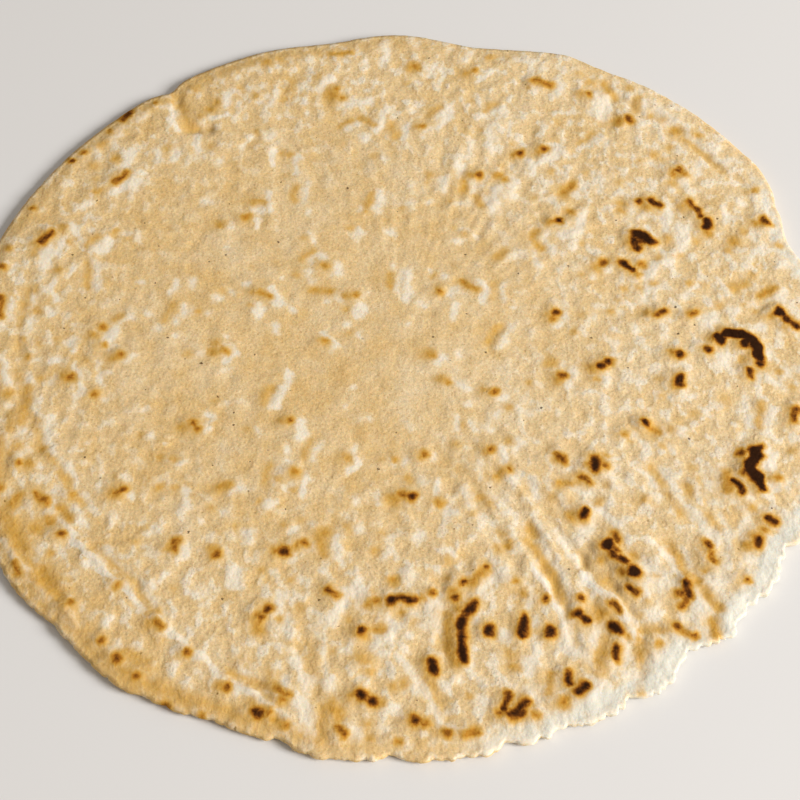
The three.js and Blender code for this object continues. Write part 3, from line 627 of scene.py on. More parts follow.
# %% The pale patches behind the middle, on the right
PALE_AND_LIT_PATCHES += features_from([
    (8.9, 40, 8.7, 37, .9, .75), (18.9, 37, 18.1, 31.5, 1.5, .75), (21.9, 37.8, 1.4, .75),
    (21.9, 35.6, 1.3, .75), (27.4, 36.7, .9, .75), (29.6, 34.4, 1.3, .75), (38.9, 36.7, .9, .75),
    (39.6, 32.6, 1, .75), (35.2, 31.1, 33.3, 25.9, 1.1, 1), (31.5, 25.9, 1.3, 1),
    (32.8, 22.8, .9, .75), (25.6, 21.9, 25.9, 18.5, .9, .75), (22.2, 20.7, 1.5, .5),
    (27.8, 25.6, 1.3, .5), (35, 20, 1, .75), (39.3, 18.1, .8, .75), (36.3, 15.6, 1, .75),
    (11.1, 24.4, 1, .75), (14.1, 25.9, .7, .75), (5.9, 34.1, .9, .75), (2.2, 33.3, 1.8, .5),
    (8.9, 15.9, .7, .75), (5.7, 17.4, .8, .75), (1.7, 17, 1.7, 10.7, 1.1, .75),
    (4.3, 9.6, 1, .75), (9.3, 11.5, .9, .75), (10.7, 9.3, 10.2, 6.7, 1.1, .75),
    (15.4, 14.4, 16.1, 10.7, .9, 1), (1.9, 4.8, .9, .75), (11.1, 12.6, 1.2, .5),
    (22.2, 12.6, 1, .5), (21.1, 8.9, .7, .75), (30.4, 7, 1.2, 1), (29.3, 4.8, .9, .75),
    (33.7, 3.7, .7, .75), (39.3, 3.3, 1.1, .75), (36.1, 8.5, .9, .5), (19.3, 1.5, 1.2, .75),
    (37, 22.2, 1, .5), (2.2, 38.1, 1.3, .5), (57, 37, .9, .75), (47.8, 37, .9, .75),
    (52.6, 36.7, 1, .75), (42.6, 36.7, 1, .75), (50.9, 33, 50.7, 27.4, 1, 1), (47, 30.9, 1, .75),
    (62.4, 33.3, 61.9, 28.9, .9, .75), (65.4, 33.7, 1.2, .75), (70.2, 34.8, 69.6, 31.5, 1.1, .75),
    (54.1, 27.8, 53.3, 23, 1.4, 1), (46.3, 28.1, 48, 26.3, 49.3, 23.3, 50.4, 20, .7, .75),
    (50.4, 19.3, 1.2, 1), (47.6, 18.9, 46.3, 15.6, 1.1, 1), (46.5, 14.1, 45.6, 10.4, 1.2, .75),
    (53.1, 11.5, 1, .75), (54.6, 13.3, .7, .75), (57.8, 7, 55.6, 4.1, 1.3, .75),
    (60.7, 11.9, 1.1, .75), (61.9, 7.8, 1.3, .75), (68.3, 23.3, 65.6, 20, 1.2, .75),
    (68.1, 21.1, 1, .75), (67, 25.2, 1, .75), (70.6, 10.7, 1.1, 1), (72.6, 7.4, .8, .75),
    (65.9, 4.1, 1.1, .75), (69.3, 3, 1.3, .75), (59.6, 26.7, .8, .75), (43.3, 3.7, 1, .75),
    (48.1, 1.9, .9, .75), (58.5, 31.1, .6, .75), (43.7, 30, 1.3, .5), (72, 19, 1.5, .75),
    (63.2, 35.4, 1.6, .6), (59, 18.8, 1.8, .5), (64.1, 17.7, 1.6, .6),
])
print(len(PALE_AND_LIT_PATCHES), "pale patches so far")

# %% The pale patches before the middle, on the left
PALE_AND_LIT_PATCHES += features_from([
    (-71.1, -3.7, -70, -7, -69.3, -8.9, .8, 1), (-61.9, -3.5, 1, 1), (-61.1, -6.9, .8, .75),
    (-58.1, -4.4, -57, -7, -56.1, -10.4, .7, 1), (-57, -11.1, 1, .75), (-58.9, -1.1, .8, .75),
    (-54.1, -4.1, -53.3, -8.1, .9, .75), (-52, -6.1, .8, .75), (-48.1, -3, 1, .75),
    (-63.9, -14.1, .8, .75), (-61.5, -15.6, -61.7, -20, .8, .75), (-67.2, -15.6, .8, .75),
    (-68.9, -13.3, .9, .75), (-69.3, -19.3, -68, -21.9, .7, .75), (-65.9, -18.5, .7, .75),
    (-59.6, -23.7, .7, .75), (-55.9, -23, .6, .75), (-57, -25.6, -55.6, -29.3, .9, .75),
    (-54.4, -20.7, .8, .5), (-62.8, -25.6, .8, .75), (-62.2, -28.5, 1.2, .75),
    (-59.3, -28.5, .7, .5), (-58.9, -30.4, -57, -31.9, .8, .75),
    (-59.1, -32.6, -59.3, -35.2, .7, 1), (-65.4, -35.6, .8, .75), (-45, -14.1, 1, .75),
    (-43.7, -19.8, .8, .75), (-40.9, -21.3, .7, .75), (-45.6, -24.8, 1.6, .5),
    (-47.2, -28, .9, .75), (-45.7, -31.9, .9, 1), (-51.9, -30.7, .9, .5),
    (-54.8, -34.4, -53.3, -37.4, .9, .75), (-48.5, -36, 1.2, .5), (-40.7, -38.5, 1, .5),
    (-67.8, -32, .8, .75), (-29.3, -1.1, -31.1, -3.1, .9, 1), (-35.4, -1.7, .9, .75),
    (-12, -.7, .8, .75), (-19.6, -5.6, -19.8, -7.8, .8, .75), (-20.4, -9.3, -22.2, -13, 1.2, 1),
    (-30.6, -5.6, 1, .5), (-28.1, -12.2, 1.3, .5), (-33.5, -16.5, 1, .75),
    (-33.3, -18.3, .9, .75), (-17.4, -17, -16.9, -20.2, 1.1, 1), (-8.1, -9.3, .8, .75),
    (-5.6, -15.9, 1.2, .5), (-9.3, -13, .7, .75), (-23.7, -19.3, 1, .5), (-37.8, -25.6, 1.2, .75),
    (-19.4, -22.6, 1, .75), (-18.9, -24.8, 1, .75), (-8, -23.7, -7, -25.2, -8.5, -27, .8, 1),
    (-8.1, -22.2, .8, .75), (-15.4, -28.9, -16.5, -31.5, 1, 1), (-19.6, -30.4, .8, .75),
    (-27, -30.4, 1.1, .75), (-21.5, -33.7, 1.3, 1), (-36.9, -30.4, -36.7, -33.7, .9, .75),
    (-29.8, -35.2, 1.1, .75), (-33.5, -37.4, .8, .75), (-17.8, -38.9, .9, 1),
    (-3.5, -31.9, 1.2, .75), (-2.6, -33.7, .8, .75), (-8.5, -35.9, 1.2, .5),
    (-6.7, -38.1, .9, .75), (-25.2, -38.1, .8, .5), (-58.1, -36.3, -54.8, -39.6, .55, 1.4),
    (-33.6, -15.4, 1.2, .7), (-7.3, -32.9, 1.3, .7), (-25.2, -39.8, 1.4, .8),
])
print(len(PALE_AND_LIT_PATCHES), "pale patches so far")

# %% The pale patches before the middle, on the right
PALE_AND_LIT_PATCHES += features_from([
    (58.5, -3, 1.6, 1), (67, -1.5, 1.5, .75), (64.1, -7, 64.1, -8.9, 1.1, .75),
    (66.7, -7.4, 1.4, .75), (50, -4.4, .8, .75), (52, -8.1, 1.1, .75), (52.2, -11.1, 1, .75),
    (50.4, -12.2, .8, .75), (61.9, -11.1, 61.1, -14.1, 1.1, .75),
    (65.9, -13.7, 64.8, -18.1, 1.2, .75), (64, -22.2, 64.3, -25.6, 1.2, 1.6), (58.7, -23, 1.5, 1),
    (56, -29.6, 2, .9), (59, -38.9, 1.8, .9), (53.1, -39.9, 2, .8), (62.6, -25, .5, .75),
    (59.6, -30.7, 60.6, -32.6, .8, 1), (63, -32.2, .9, .75), (66.7, -30.4, 1, .75),
    (55.9, -25.9, .9, .75), (58, -33, 1, .75), (59.3, -34.8, 58.1, -38.9, 1, .75),
    (67.4, -35.6, 1.2, .5), (49.8, -18.7, 1.2, .75), (53.7, -13.7, .8, .75), (43, -21.9, 1, .75),
    (47.6, -22.2, .8, .75), (42.2, -26.7, 44.1, -30, .9, .75), (46.9, -28.5, .9, .75),
    (44.1, -32.2, 1.1, .75), (50, -34.1, 52.2, -38.1, 1, .75), (41.1, -25.2, .8, .75),
    (45.2, -.7, 1, .75), (42.8, -7.4, 1.2, .5), (62.8, -16.4, 1.8, 1), (68, -9.1, 1.6, .6),
    (72.4, -5.2, 1.6, .6), (56, -27.6, 1.6, .8), (54.1, -33.3, 1.8, .6), (69.6, -28.6, 2, .6),
    (7.8, -2.2, 7, -4.4, .9, 1), (10.7, -2.6, .9, .75), (11.7, -9.3, 1.1, 1),
    (18.5, -11.1, 1.1, 1), (21.1, -13.5, .8, .75), (29.3, -4.1, .9, .75),
    (31.1, -6.3, 30.6, -8.5, 1.2, 1), (12.8, -12.4, .8, .75), (23, -14.8, 1.3, .5),
    (22.2, -10.7, .8, .5), (24.1, -12.2, .7, .75), (17.8, -15.2, .9, .75), (16.3, -18.3, .7, .75),
    (10, -15.6, 10, -17.8, .7, .75), (13, -17.2, .8, .75), (11.9, -22, .9, .75),
    (21.5, -20.7, 20.7, -22.2, .9, .75), (17.6, -22.6, 18.1, -24.8, .9, 1), (21.1, -27.4, 1, 1),
    (29.6, -26.3, .9, 1), (23, -28.9, 24.1, -31.5, 1.1, .75), (18.5, -32.6, 1.2, .5),
    (14.3, -24.1, 14.1, -28.9, .9, .5), (6.7, -28.9, 6.3, -31.9, .9, .75),
    (11.5, -30.7, 12.2, -34.1, .9, .75), (8.9, -35.2, 1.2, 1), (18.1, -35.2, 1.1, .75),
    (23.3, -35.9, .9, .75), (32.8, -36.7, 31.1, -39.3, 1, .75), (27, -38.9, 1, .75),
    (31.1, -31.1, 33, -31.5, 1, .75), (33.7, -28.1, 1, .75), (37, -27.4, .9, .75),
    (34.4, -34.4, 37.4, -38.1, 1, 1), (37.8, -30.7, .9, .75), (37, -7.8, 1.1, 1),
    (33.9, -10, .8, .75), (2.2, -17, 1.5, .5), (39.3, -2, 1, .75), (3.7, -39.3, 1.2, .75),
    (66, -37.5, 2.2, 1.1), (66.4, -1.5, 1.6, .9), (67.9, -5.8, 1.4, .7), (60.6, -19, 1.4, .7),
    (64, -29.8, 1.5, 1.5), (66.4, -1.3, 1.2, 1.1), (69.6, -6, 1.6, .9), (59.7, -39, 1.2, .8),
])
print(len(PALE_AND_LIT_PATCHES), "pale patches so far")

# %% The pale patches at the front, on the left
PALE_AND_LIT_PATCHES += features_from([
    (-66.7, -40.7, -65.2, -43, -62.6, -45.9, -60.4, -48.5, -57.8, -51.5, .6, 1.4),
    (-54.4, -54.3, -53.1, -56.7, .8, 1),
    (-54.8, -40.4, -51.5, -43.7, -48.5, -47, -45.6, -49.3, -43.7, -52.2, -40.4, -55.2, .55, 1.4),
    (-44.4, -51.5, .8, 1), (-51.9, -45.2, 1.3, 1), (-60.9, -42.2, .8, .5), (-40.9, -49.3, 1, .75),
    (-43.7, -45.6, .9, .5), (-54.1, -47.4, .9, .5), (-47.8, -56.3, 1.2, .75),
    (-44.1, -61.5, .8, .75), (-59.3, -53.7, .8, .5), (-26.7, -46.7, -27.2, -48.9, 1.3, 1),
    (-39.3, -47.4, 1, .75), (-32.6, -50.7, 2, .5), (-32.2, -53.7, 1.2, .5),
    (-35.4, -43.3, .7, .75), (-29.3, -41.5, -28.5, -44.1, .6, .5), (-12.6, -47, .8, .75),
    (-10.4, -40.4, -9.3, -45.6, 1, .75), (-6.5, -48.5, -6.5, -53, 1.1, 1),
    (-8.5, -50.7, -10.4, -55.6, 1, 1), (-19.6, -50.7, -19.2, -53.1, .8, .7),
    (-18.1, -55.9, -18, -58.6, 1.1, .7), (-12.6, -55.6, -13, -59.3, 1.3, .5),
    (-1.5, -56.3, -1.5, -58.9, 1.2, 1), (-3.5, -59.3, 1.2, .75), (-2.6, -62.2, 1.2, .75),
    (-17.2, -61.5, -15.8, -64.4, 1.2, .6), (-15.2, -66.5, -14.9, -69, 1.1, .5),
    (-14.8, -66.7, 1.2, 1), (-15.6, -70.7, -13.7, -73.3, -14.4, -77, 1.4, 1),
    (-39.6, -56.3, -35.2, -60.2, -32.6, -62.2, .55, 1.4),
    (-32.6, -62.2, -30.4, -64.4, -28.9, -65.9, .8, 1),
    (-28.9, -65.9, -24.4, -68.5, -20.7, -71.1, .6, 1.3), (-20.7, -71.1, -17.8, -73.3, .7, .9),
    (-35.9, -64.1, .9, .75), (-33.3, -67.8, .7, .75), (-.9, -71.5, 1.1, 1),
    (-12.4, -62.2, 1.1, .75), (-10.4, -66.7, 1, .75), (-6.3, -66.7, .9, .75), (-30, -59.6, 1, .5),
    (-8.1, -74.1, .8, .75), (-6.5, -75.6, .7, .75),
])
print(len(PALE_AND_LIT_PATCHES), "pale patches so far")

# %% The pale patches at the front, on the right
PALE_AND_LIT_PATCHES += features_from([
    (46.8, -48.7, 1.2, 1.3), (2.8, -47.4, 1, .75), (6.1, -51.5, 6.3, -57, 1.3, 1),
    (5.6, -59.3, .8, .75), (7.4, -62.6, .8, .75), (8.9, -43, 1, .75),
    (17.8, -46.3, 18.5, -48.5, 1.1, 1), (16.3, -45.2, 14.1, -50, 1, .75),
    (13.9, -50.7, 12.6, -55.6, .9, .75), (22.2, -50.4, 21.5, -53.7, .7, .75),
    (18.5, -53, .8, .75), (15.9, -53.7, 1, .5),
    (22.6, -46, 24.4, -48.9, 25.9, -52.6, 27.4, -57, .65, 1.7), (27.4, -57, 27.6, -61.5, 1, 1.1),
    (27.4, -40.4, 29.3, -43.3, 30.4, -45.9, .8, .75),
    (31.2, -47.8, 33.6, -50.3, 35.9, -52.6, 37.2, -54.8, 38.5, -57, 39.3, -59.4, .65, 1.8),
    (32.6, -56.7, 31.9, -60.7, 30.7, -63, .8, 1), (33, -67.8, 1.5, 1),
    (37.4, -60.7, 36.7, -64.1, .9, .75), (22.6, -61.1, 21.1, -65.2, 1, 1), (27, -60.7, .9, .75),
    (12.6, -61.1, .8, .75), (13, -65.5, 13.7, -68.1, 1, .5), (9.6, -66.7, 1, .5),
    (17.4, -58.5, 1.1, .75), (15.9, -63, 1, .5),
    (.4, -62.6, 3, -66.3, 5.2, -70.7, 6.7, -74.1, .8, 1), (3, -68.5, 1.2, .75),
    (1.7, -58.9, 1, .75), (3.7, -56.7, .8, .75), (7.8, -72.2, .9, .75), (15.9, -75.2, 1, .75),
    (8.9, -75.6, .8, .75), (5.9, -77.4, .8, .75), (25.9, -72.6, 31.5, -70, 1, .75),
    (37, -65.9, 1, .75), (15, -78.5, 27, -76, 38, -72, 2, 1),
    (44.8, -42.4, 46.2, -45.5, 47.6, -48, .6, 1.7), (44.1, -47.4, 1.2, .75),
    (40.9, -50.7, 1.2, 1), (42.8, -54.1, 1.1, .75), (49.1, -50.7, 50.7, -54.8, .8, 1.5),
    (47.6, -55.2, 1, .75), (53.7, -48.5, 1.2, .75), (43, -60.7, 42.4, -63.3, 1.6, 1),
    (53.3, -58.9, 1.2, .75), (54.8, -55.6, 1, .75),
    (63, -42, 62, -49, 58, -52.5, 54, -57, 49.5, -61, 46, -63, 42, -68, 2, 1),
    (50.7, -41.5, .8, .75), (43, -41.5, 1, .75), (55.9, -42.2, 1, .75), (60.7, -44.6, 1.2, .75),
    (31.1, -69.2, 2.6, 2.2), (40.4, -47.8, 1, .8), (49.4, -55.6, 1.8, 1.1),
    (48.6, -52.6, 1.5, 1.3), (34.7, -57.2, 1.3, 1.3), (28.7, -51.3, 1.2, 1),
    (29.3, -61.7, 1.6, 1), (40.4, -51.3, 1.2, 1), (21.6, -69.3, 2, .9), (41.3, -63.7, 2, 1),
    (21.9, -69.6, 1.4, .8), (62.4, -42.8, 2, 1), (38.2, -65.9, 2, .8), (21.8, -59.2, 1, 1.1),
    (59.1, -44.8, 2, .8), (54.5, -46.2, 1.6, .7), (42.2, -45, 43.5, -49.5, 2, .6),
    (42.3, -54.6, 1.8, .6), (58, -49.2, 1.6, .6), (22.6, -56.2, 1, .7), (13.7, -71, 1.6, .7),
])
print(len(PALE_AND_LIT_PATCHES), "pale patches so far")

# %% [markdown]
# ## The relief of the upper face
# The face is almost flat, with blisters, wrinkles and press rings a few tenths of a millimetre
# high. A displacement in the material would be lost when the model is used elsewhere, so the
# points of the mesh move. The height is a sum: the slow waves of the CAD solid, small mounds
# like those on any blistered bread, the creases, a dome under each mark and a low swelling
# under each pale patch. Points are first pushed about, so that no dome is a perfect circle.

# %% Pushed points and domes
SEED_STEP = 50    # between the seeds of the two directions
DOME_POWER = 1.4


def pushed(x, y, amount, size, seed):
    """The points moved sideways by random hills, so that shapes made from them are uneven."""
    return x + amount * hills(x, y, size, seed), y + amount * hills(x, y, size, seed + SEED_STEP)


def dome(distance, radius):
    """A round hill with a steep side: one less the square of the distance over the radius, to
    the power of 1.4, and 0 outside the radius."""
    return np.maximum(1 - (distance / radius) ** 2, 0) ** DOME_POWER


middle = np.zeros(1)
print("a dome at half its radius:", dome(middle + 0.5, 1.0).round(2)[0])

# %% Humps under the marks
HUMP_FROM = 0.45                              # lighter marks have no hump
HUMP_HEIGHT, HUMP_PER_DARKNESS = 0.13, 0.25   # in mm
HUMP_RADIUS, HUMP_PER_WIDTH = 1.9, 0.6
HUMP_LEFT, HUMP_NEARER = 0.6, 0.1             # the hump's middle, seen from its mark, in mm
SWELLING_FROM = 0.6                           # smaller pale patches have no swelling
SWELLING_HEIGHT, SWELLING_RADIUS = 0.14, 1.6
SWELLING_LEFT, SWELLING_FARTHER = 0.9, 0.2
BLISTER_SHARE = 0.75                          # of the listed heights


def humps(x, y):
    """The blisters: the tallest dome at each point. A dark mark lies on the right of its dome,
    which is higher under a darker mark and wider under a wider one. A pale patch has a low one."""
    tallest = np.zeros(x.shape)
    for line, width, dark in MARKS:
        if dark >= HUMP_FROM:
            hump = dome(distance_to(line, x + HUMP_LEFT, y + HUMP_NEARER),
                        HUMP_RADIUS + HUMP_PER_WIDTH * width)
            tallest = np.maximum(tallest, (HUMP_HEIGHT + HUMP_PER_DARKNESS * dark) * hump)
    for line, radius, strength in PALE_AND_LIT_PATCHES:
        if radius > SWELLING_FROM:
            swelling = dome(distance_to(line, x + SWELLING_LEFT, y - SWELLING_FARTHER),
                            SWELLING_RADIUS + radius)
            tallest = np.maximum(tallest, SWELLING_HEIGHT * strength * swelling)
    for blister_x, blister_y, height, radius in BLISTERS:
        blister = dome(np.hypot(x - blister_x, y - blister_y), radius)
        tallest = np.maximum(tallest, BLISTER_SHARE * height * blister)
    return tallest


print("the humps' height in the middle of the round, mm:", humps(middle, middle).round(2)[0])

# %% Mounds and wrinkles
MOUND_HEIGHT = 0.16
CALM_RADIUS, LIVELY_RADIUS = 5, 45   # the mounds grow from the one to the other
CALM = 0.45                          # share of the mounds' height in the middle
WRINKLE_HEIGHT = 0.34
WRINKLES_PER_RADIAN, WRINKLE_LENGTH = 18, 13
FAN_LINE, FAN_WIDTH = [(30, -38), (48, -52)], 17   # the fan of wrinkles at the front right
BACK_PLACE, BACK_WIDTH, BACK_SHARE = (25, 45), 25, 0.5
WRINKLED_EVERYWHERE = 0.1


def mounds(x, y):
    """Small swellings with creases between them: half less the size of random hills, in three
    sizes, and lower in the middle of the round."""
    lively = smooth_step(np.hypot(x, y), CALM_RADIUS, LIVELY_RADIUS)
    coarse = 0.5 - np.abs(hills(x, y, size=7.5, seed=21))
    medium = 0.5 - np.abs(hills(x, y, size=3.8, seed=31))
    small = hills(x, y, size=1.9, seed=41)
    share = CALM + (1 - CALM) * lively
    return MOUND_HEIGHT * share * (coarse + 1.2 * medium + 0.35 * small)


def wrinkles(x, y):
    """Fine folds that run outwards: random hills of the angle and of the distance from the
    middle, much longer than wide, and strongest at the front right."""
    radius, angle = np.hypot(x, y), np.arctan2(y, x)
    folds = hills(angle * WRINKLES_PER_RADIAN, radius / WRINKLE_LENGTH, size=1, seed=61, octaves=2)
    front = bell(distance_to(FAN_LINE, x, y), FAN_WIDTH)
    back = BACK_SHARE * bell(distance_to([BACK_PLACE], x, y), BACK_WIDTH)
    return WRINKLE_HEIGHT * folds * (front + back + WRINKLED_EVERYWHERE)


print("mounds reach, mm:", np.abs(mounds(test_x, test_y)).max().round(2))

# %% The relief
WAVE_HEIGHT, WAVE_LENGTH = 0.12, 46


def bent(x, y):
    """The points moved sideways by up to a millimetre, so that no crease runs straight."""
    return pushed(x, y, amount=1.0, size=4, seed=71)


def worn(x, y):
    """How strong a crease is along its length: 1 with random hills of 4 mm."""
    return 1 + hills(x, y, size=4, seed=77)


def relief(x, y):
    """The sum of the waves, mounds, wrinkles, creases and humps, in mm."""
    turns = 2 * math.pi / WAVE_LENGTH
    height = WAVE_HEIGHT * np.sin(x * turns + 1) * np.cos(y * turns)
    height += mounds(x, y) + wrinkles(x, y)
    height += humps(*pushed(x, y, amount=0.5, size=3.5, seed=71))
    bent_x, bent_y = bent(x, y)
    strength = worn(x, y)
    for crease_height, half_width, line in CREASES:
        height += crease_height * strength * bell(distance_to(line, bent_x, bent_y), half_width)
    return height


wear = worn(test_x, test_y)
print("creases are", wear.min().round(2), "to", wear.max().round(2), "times as high as listed")

# %% [markdown]
# ## Where it is toasted and shaded, and where it is pale and lit
# Two numbers are kept for each point of the surface, because a material can't know where a
# blister touched the metal. Toast is highest on a mark and falls softly to 0 beside it; the
# material turns it into gold, brown and black. The same number also carries painted shade:
# the grooves and the rim away from the light are painted golden with it. A mark lies in a
# golden blush, moved to the left onto the hump's flank away from the light, so that the blush
# is toasting and painted shade. Pale is highest in the middle of a pale patch, which is partly
# flour and partly painted highlight, and on the lit right flank beside a mark, which is a
# painted highlight. Both fall off over more than two squares of the mesh, so that the material
# can cut a sharper edge from them.

# %% Toast, with each blush moved into painted shade
NEARER = 0.2                              # marks and patches lie nearer than listed, in mm
MARK_SOFTNESS = 0.78                      # the least half width of a mark
BLUSH_FROM = 0.3                          # lighter marks are a blush already
BLUSH, BLUSH_PER_DARKNESS = 0.1, 0.12
# The blush is moved left, onto the flank away from the light: painted shade.
BLUSH_SHADE_LEFT, BLUSH_MARGIN = 0.8, 1.25      # in mm


def toasted_and_shaded(x, y, marks):
    """The highest of all marks and blushes. A mark is its darkness times a bell across its
    line; the half width is the root of the sum of the squares of 0.5 widths and 0.78 mm. The
    blush of a dark mark is a wider and lower golden bell, from the line moved left by 0.8 mm
    onto the hump's flank away from the light, so that it also paints that flank's shade."""
    x, y = pushed(x, y + NEARER, amount=0.5, size=2, seed=81)
    toast_and_shade = np.zeros(x.shape)
    for line, width, dark in marks:
        half_width = math.hypot(0.5 * width, MARK_SOFTNESS)
        toast_and_shade = np.maximum(toast_and_shade, dark * bell(distance_to(line, x, y), half_width))
        if dark > BLUSH_FROM:
            blush = bell(distance_to(line, x + BLUSH_SHADE_LEFT, y), 0.5 * width + BLUSH_MARGIN)
            toast_and_shade = np.maximum(toast_and_shade, (BLUSH + BLUSH_PER_DARKNESS * dark) * blush)
    return toast_and_shade


print("toast in the middle of the round:", toasted_and_shaded(middle, middle, MARKS).round(2)[0])

# %% Paleness and painted highlight
PATCH_FADE = 1.6                              # radii at which a pale patch ends
# The right flank of a blister beside a mark faces the light and gets a painted highlight.
FLANK_BELOW, FLANK_NARROWER = 0.7, 2.5        # marks with a pale flank: darkness and width
FLANK_RIGHT, FLANK_NEARER = 1.3, 0.5          # its place beside the mark, in mm
FLANK_HIGHLIGHT, FLANK_WIDTH = 0.55, 1.0


def paleness_and_highlight(x, y):
    """For each pale patch, which is partly flour and partly painted highlight, its strength times
    one less the distance over 1.6 radii, and the highest of them all. Beside each mark that is
    not black, the blister's right flank, which faces the light, gets a painted highlight: a bell
    from the mark's line moved right by half its width and 1.3 mm."""
    x, y = pushed(x, y + NEARER, amount=0.9, size=2.6, seed=83)
    pale = np.zeros(x.shape)
    for line, radius, strength in PALE_AND_LIT_PATCHES:
        patch = 1 - distance_to(line, x, y) / (PATCH_FADE * radius)
        pale = np.maximum(pale, strength * patch)
    # Painted highlight: the blister's right flank, which faces the light, is made pale.
    for line, width, dark in MARKS:
        if dark < FLANK_BELOW and width < FLANK_NARROWER:
            distance = distance_to(line, x - 0.5 * width - FLANK_RIGHT, y + FLANK_NEARER)
            pale = np.maximum(pale, FLANK_HIGHLIGHT * bell(distance, FLANK_WIDTH))
    return pale


print("paleness in the middle of the round:", paleness_and_highlight(middle, middle).round(2)[0])

# %% The tones of the rim
# The rim is a dull white where it faces the light: partly drying, partly painted light.
DRY_AND_LIT_MIDDLE, DRY_AND_LIT_FROM, DRY_AND_LIT_TO = 335, 40, 75       # degrees; it fades between the last two
WHITEST, WHITEST_WIDTH, WHITEST_SHARE = 315, 22, 0.4
# The rim is golden where it faces away from the light: painted shade.
RIM_SHADE = [(0.32, 240, 34), (0.2, 125, 50)]      # painted shade, angle and half width in degrees


def turn_from(angle, middle):
    """How far an angle is from the middle one, in degrees."""
    return (np.degrees(angle) - middle + 180) % 360 - 180


def dry_and_lit_rim(angle):
    """How much of the rim is a dull white, centred where it faces the light, so partly from drying
    and partly painted light: most of it over the right and the front, and all of it at the front
    right."""
    dried_and_lit = 1 - smooth_step(np.abs(turn_from(angle, DRY_AND_LIT_MIDDLE)), DRY_AND_LIT_FROM, DRY_AND_LIT_TO)
    whitest = bell(turn_from(angle, WHITEST), WHITEST_WIDTH)
    return dried_and_lit * (1 - WHITEST_SHARE + WHITEST_SHARE * whitest)


def shaded_rim(angle):
    """How much painted shade the rim gets where it faces away from the light, golden at the front
    left and a little at the back: the higher of a bell for each."""
    return np.max([toast_and_shade * bell(turn_from(angle, middle), half_width)
                   for toast_and_shade, middle, half_width in RIM_SHADE], axis=0)


print("the rim's toast in front, at the left and behind:",
      shaded_rim(np.radians([270.0, 180.0, 90.0])).round(2))

# %% [markdown]
# ## The surface
# A mesh of rings would crowd its points in the middle and spread them at the rim. Instead a
# square grid is pulled into a disc: the grid's squares stay almost the same size all over.
# Its border then has evenly spaced angles, which the side and the underside share, so the
# whole skin closes without a seam.

# %% A square grid pulled into a disc
CELLS = 256
FIRST_ANGLE = math.radians(-45)   # of the border, at a corner of the square


def disc_grid(cells):
    """The share of the radius, and the angle, of each corner of a square grid pulled into a
    disc. In the quarter where the first coordinate is larger, it is the radius, and the
    angle is an eighth of a turn times the second over the first; in the others likewise."""
    side = np.linspace(-1, 1, cells + 1)
    a, b = np.meshgrid(side, side, indexing="ij")
    sideways = np.abs(a) > np.abs(b)
    long = np.where(sideways, a, b)
    short = np.where(sideways, b, a)
    tilt = math.pi / 4 * short / np.where(long == 0, 1, long)
    angle = np.where(sideways, tilt, math.pi / 2 - tilt)
    x, y = long * np.cos(angle), long * np.sin(angle)
    return np.hypot(x, y), np.arctan2(y, x)


def border(cells):
    """The numbers of the grid's border points, counter-clockwise from the first angle."""
    number = np.arange((cells + 1) ** 2).reshape(cells + 1, cells + 1)
    return np.concatenate([number[-1, :-1], number[:0:-1, -1], number[0, :0:-1], number[:-1, 0]])


print("a grid of", CELLS, "squares a side has", border(CELLS).size, "border points")

# %% [markdown]
# The upper face slopes down to a thin rim over the last few millimetres, where the dough is
# torn into short streaks that run outwards. The side is a rounded, crumbly nose, and the
# underside starts a little way in, because the edge curls up. A bevel would round the edge
# evenly, which real dough never is, so the side has rows of points of its own.

# %% The upper face
THICKNESS = 1.72
EDGE_TOP, EDGE_TILT, EDGE_TILT_ANGLE, EDGE_WAVE = 1.5, 0.16, 0.35, 0.14
SHOULDER = 3.2                           # over which the height goes down to the edge's
MARGIN = 5.2                             # of the streaks and of the rim's tones
RAGGED_POWER = 40                        # the ragged part fades within a few mm of the edge
STREAK_HEIGHT, STREAKS_PER_RADIAN, STREAK_LENGTH = 0.16, 42, 4


def upper_face(cells):
    """Points of the upper face, how much they are on the rim, and the relief. The radius is
    the share of the outline's radius, with the ragged part only close to the rim; the height
    goes from the edge's to the dough's thickness plus relief by a smooth step over the
    shoulder."""
    share, angle = disc_grid(cells)
    radius = MEAN_RADIUS + outline(angle, SWELLS)
    from_edge = radius * (1 - share)
    radius = radius * share + ragged(angle) * share**RAGGED_POWER
    x, y = radius * np.cos(angle), radius * np.sin(angle)
    rim = 1 - smooth_step(from_edge, 0, MARGIN)
    sunk = 1 - smooth_step(from_edge, 0, SHOULDER)
    streaks = hills(angle * STREAKS_PER_RADIAN, from_edge / STREAK_LENGTH, 1, seed=91, octaves=2)
    streak_height = STREAK_HEIGHT * rim * (1 - 0.5 * rim)
    edge_height = EDGE_TOP + EDGE_TILT * np.cos(angle + EDGE_TILT_ANGLE)
    edge_height += EDGE_WAVE * hills(x, y, size=9, seed=92)
    swelling = relief(x, y)
    height = THICKNESS + swelling
    height = height + sunk * (edge_height - height) + streak_height * streaks
    return x, y, height, rim, swelling


x, y, height, rim, swelling = upper_face(CELLS)
print("the upper face's height goes from", height.min().round(2), "to", height.max().round(2), "mm")

# %% The height is kept under the CAD solid's
KNEE = 2.4
over = np.maximum(height - KNEE, 0)
room = CAD_TOP - KNEE
height = np.where(height > KNEE, KNEE + room * over / (over + room), height)
print("highest point", height.max().round(2), "mm, in the CAD solid", round(CAD_TOP, 2), "mm")

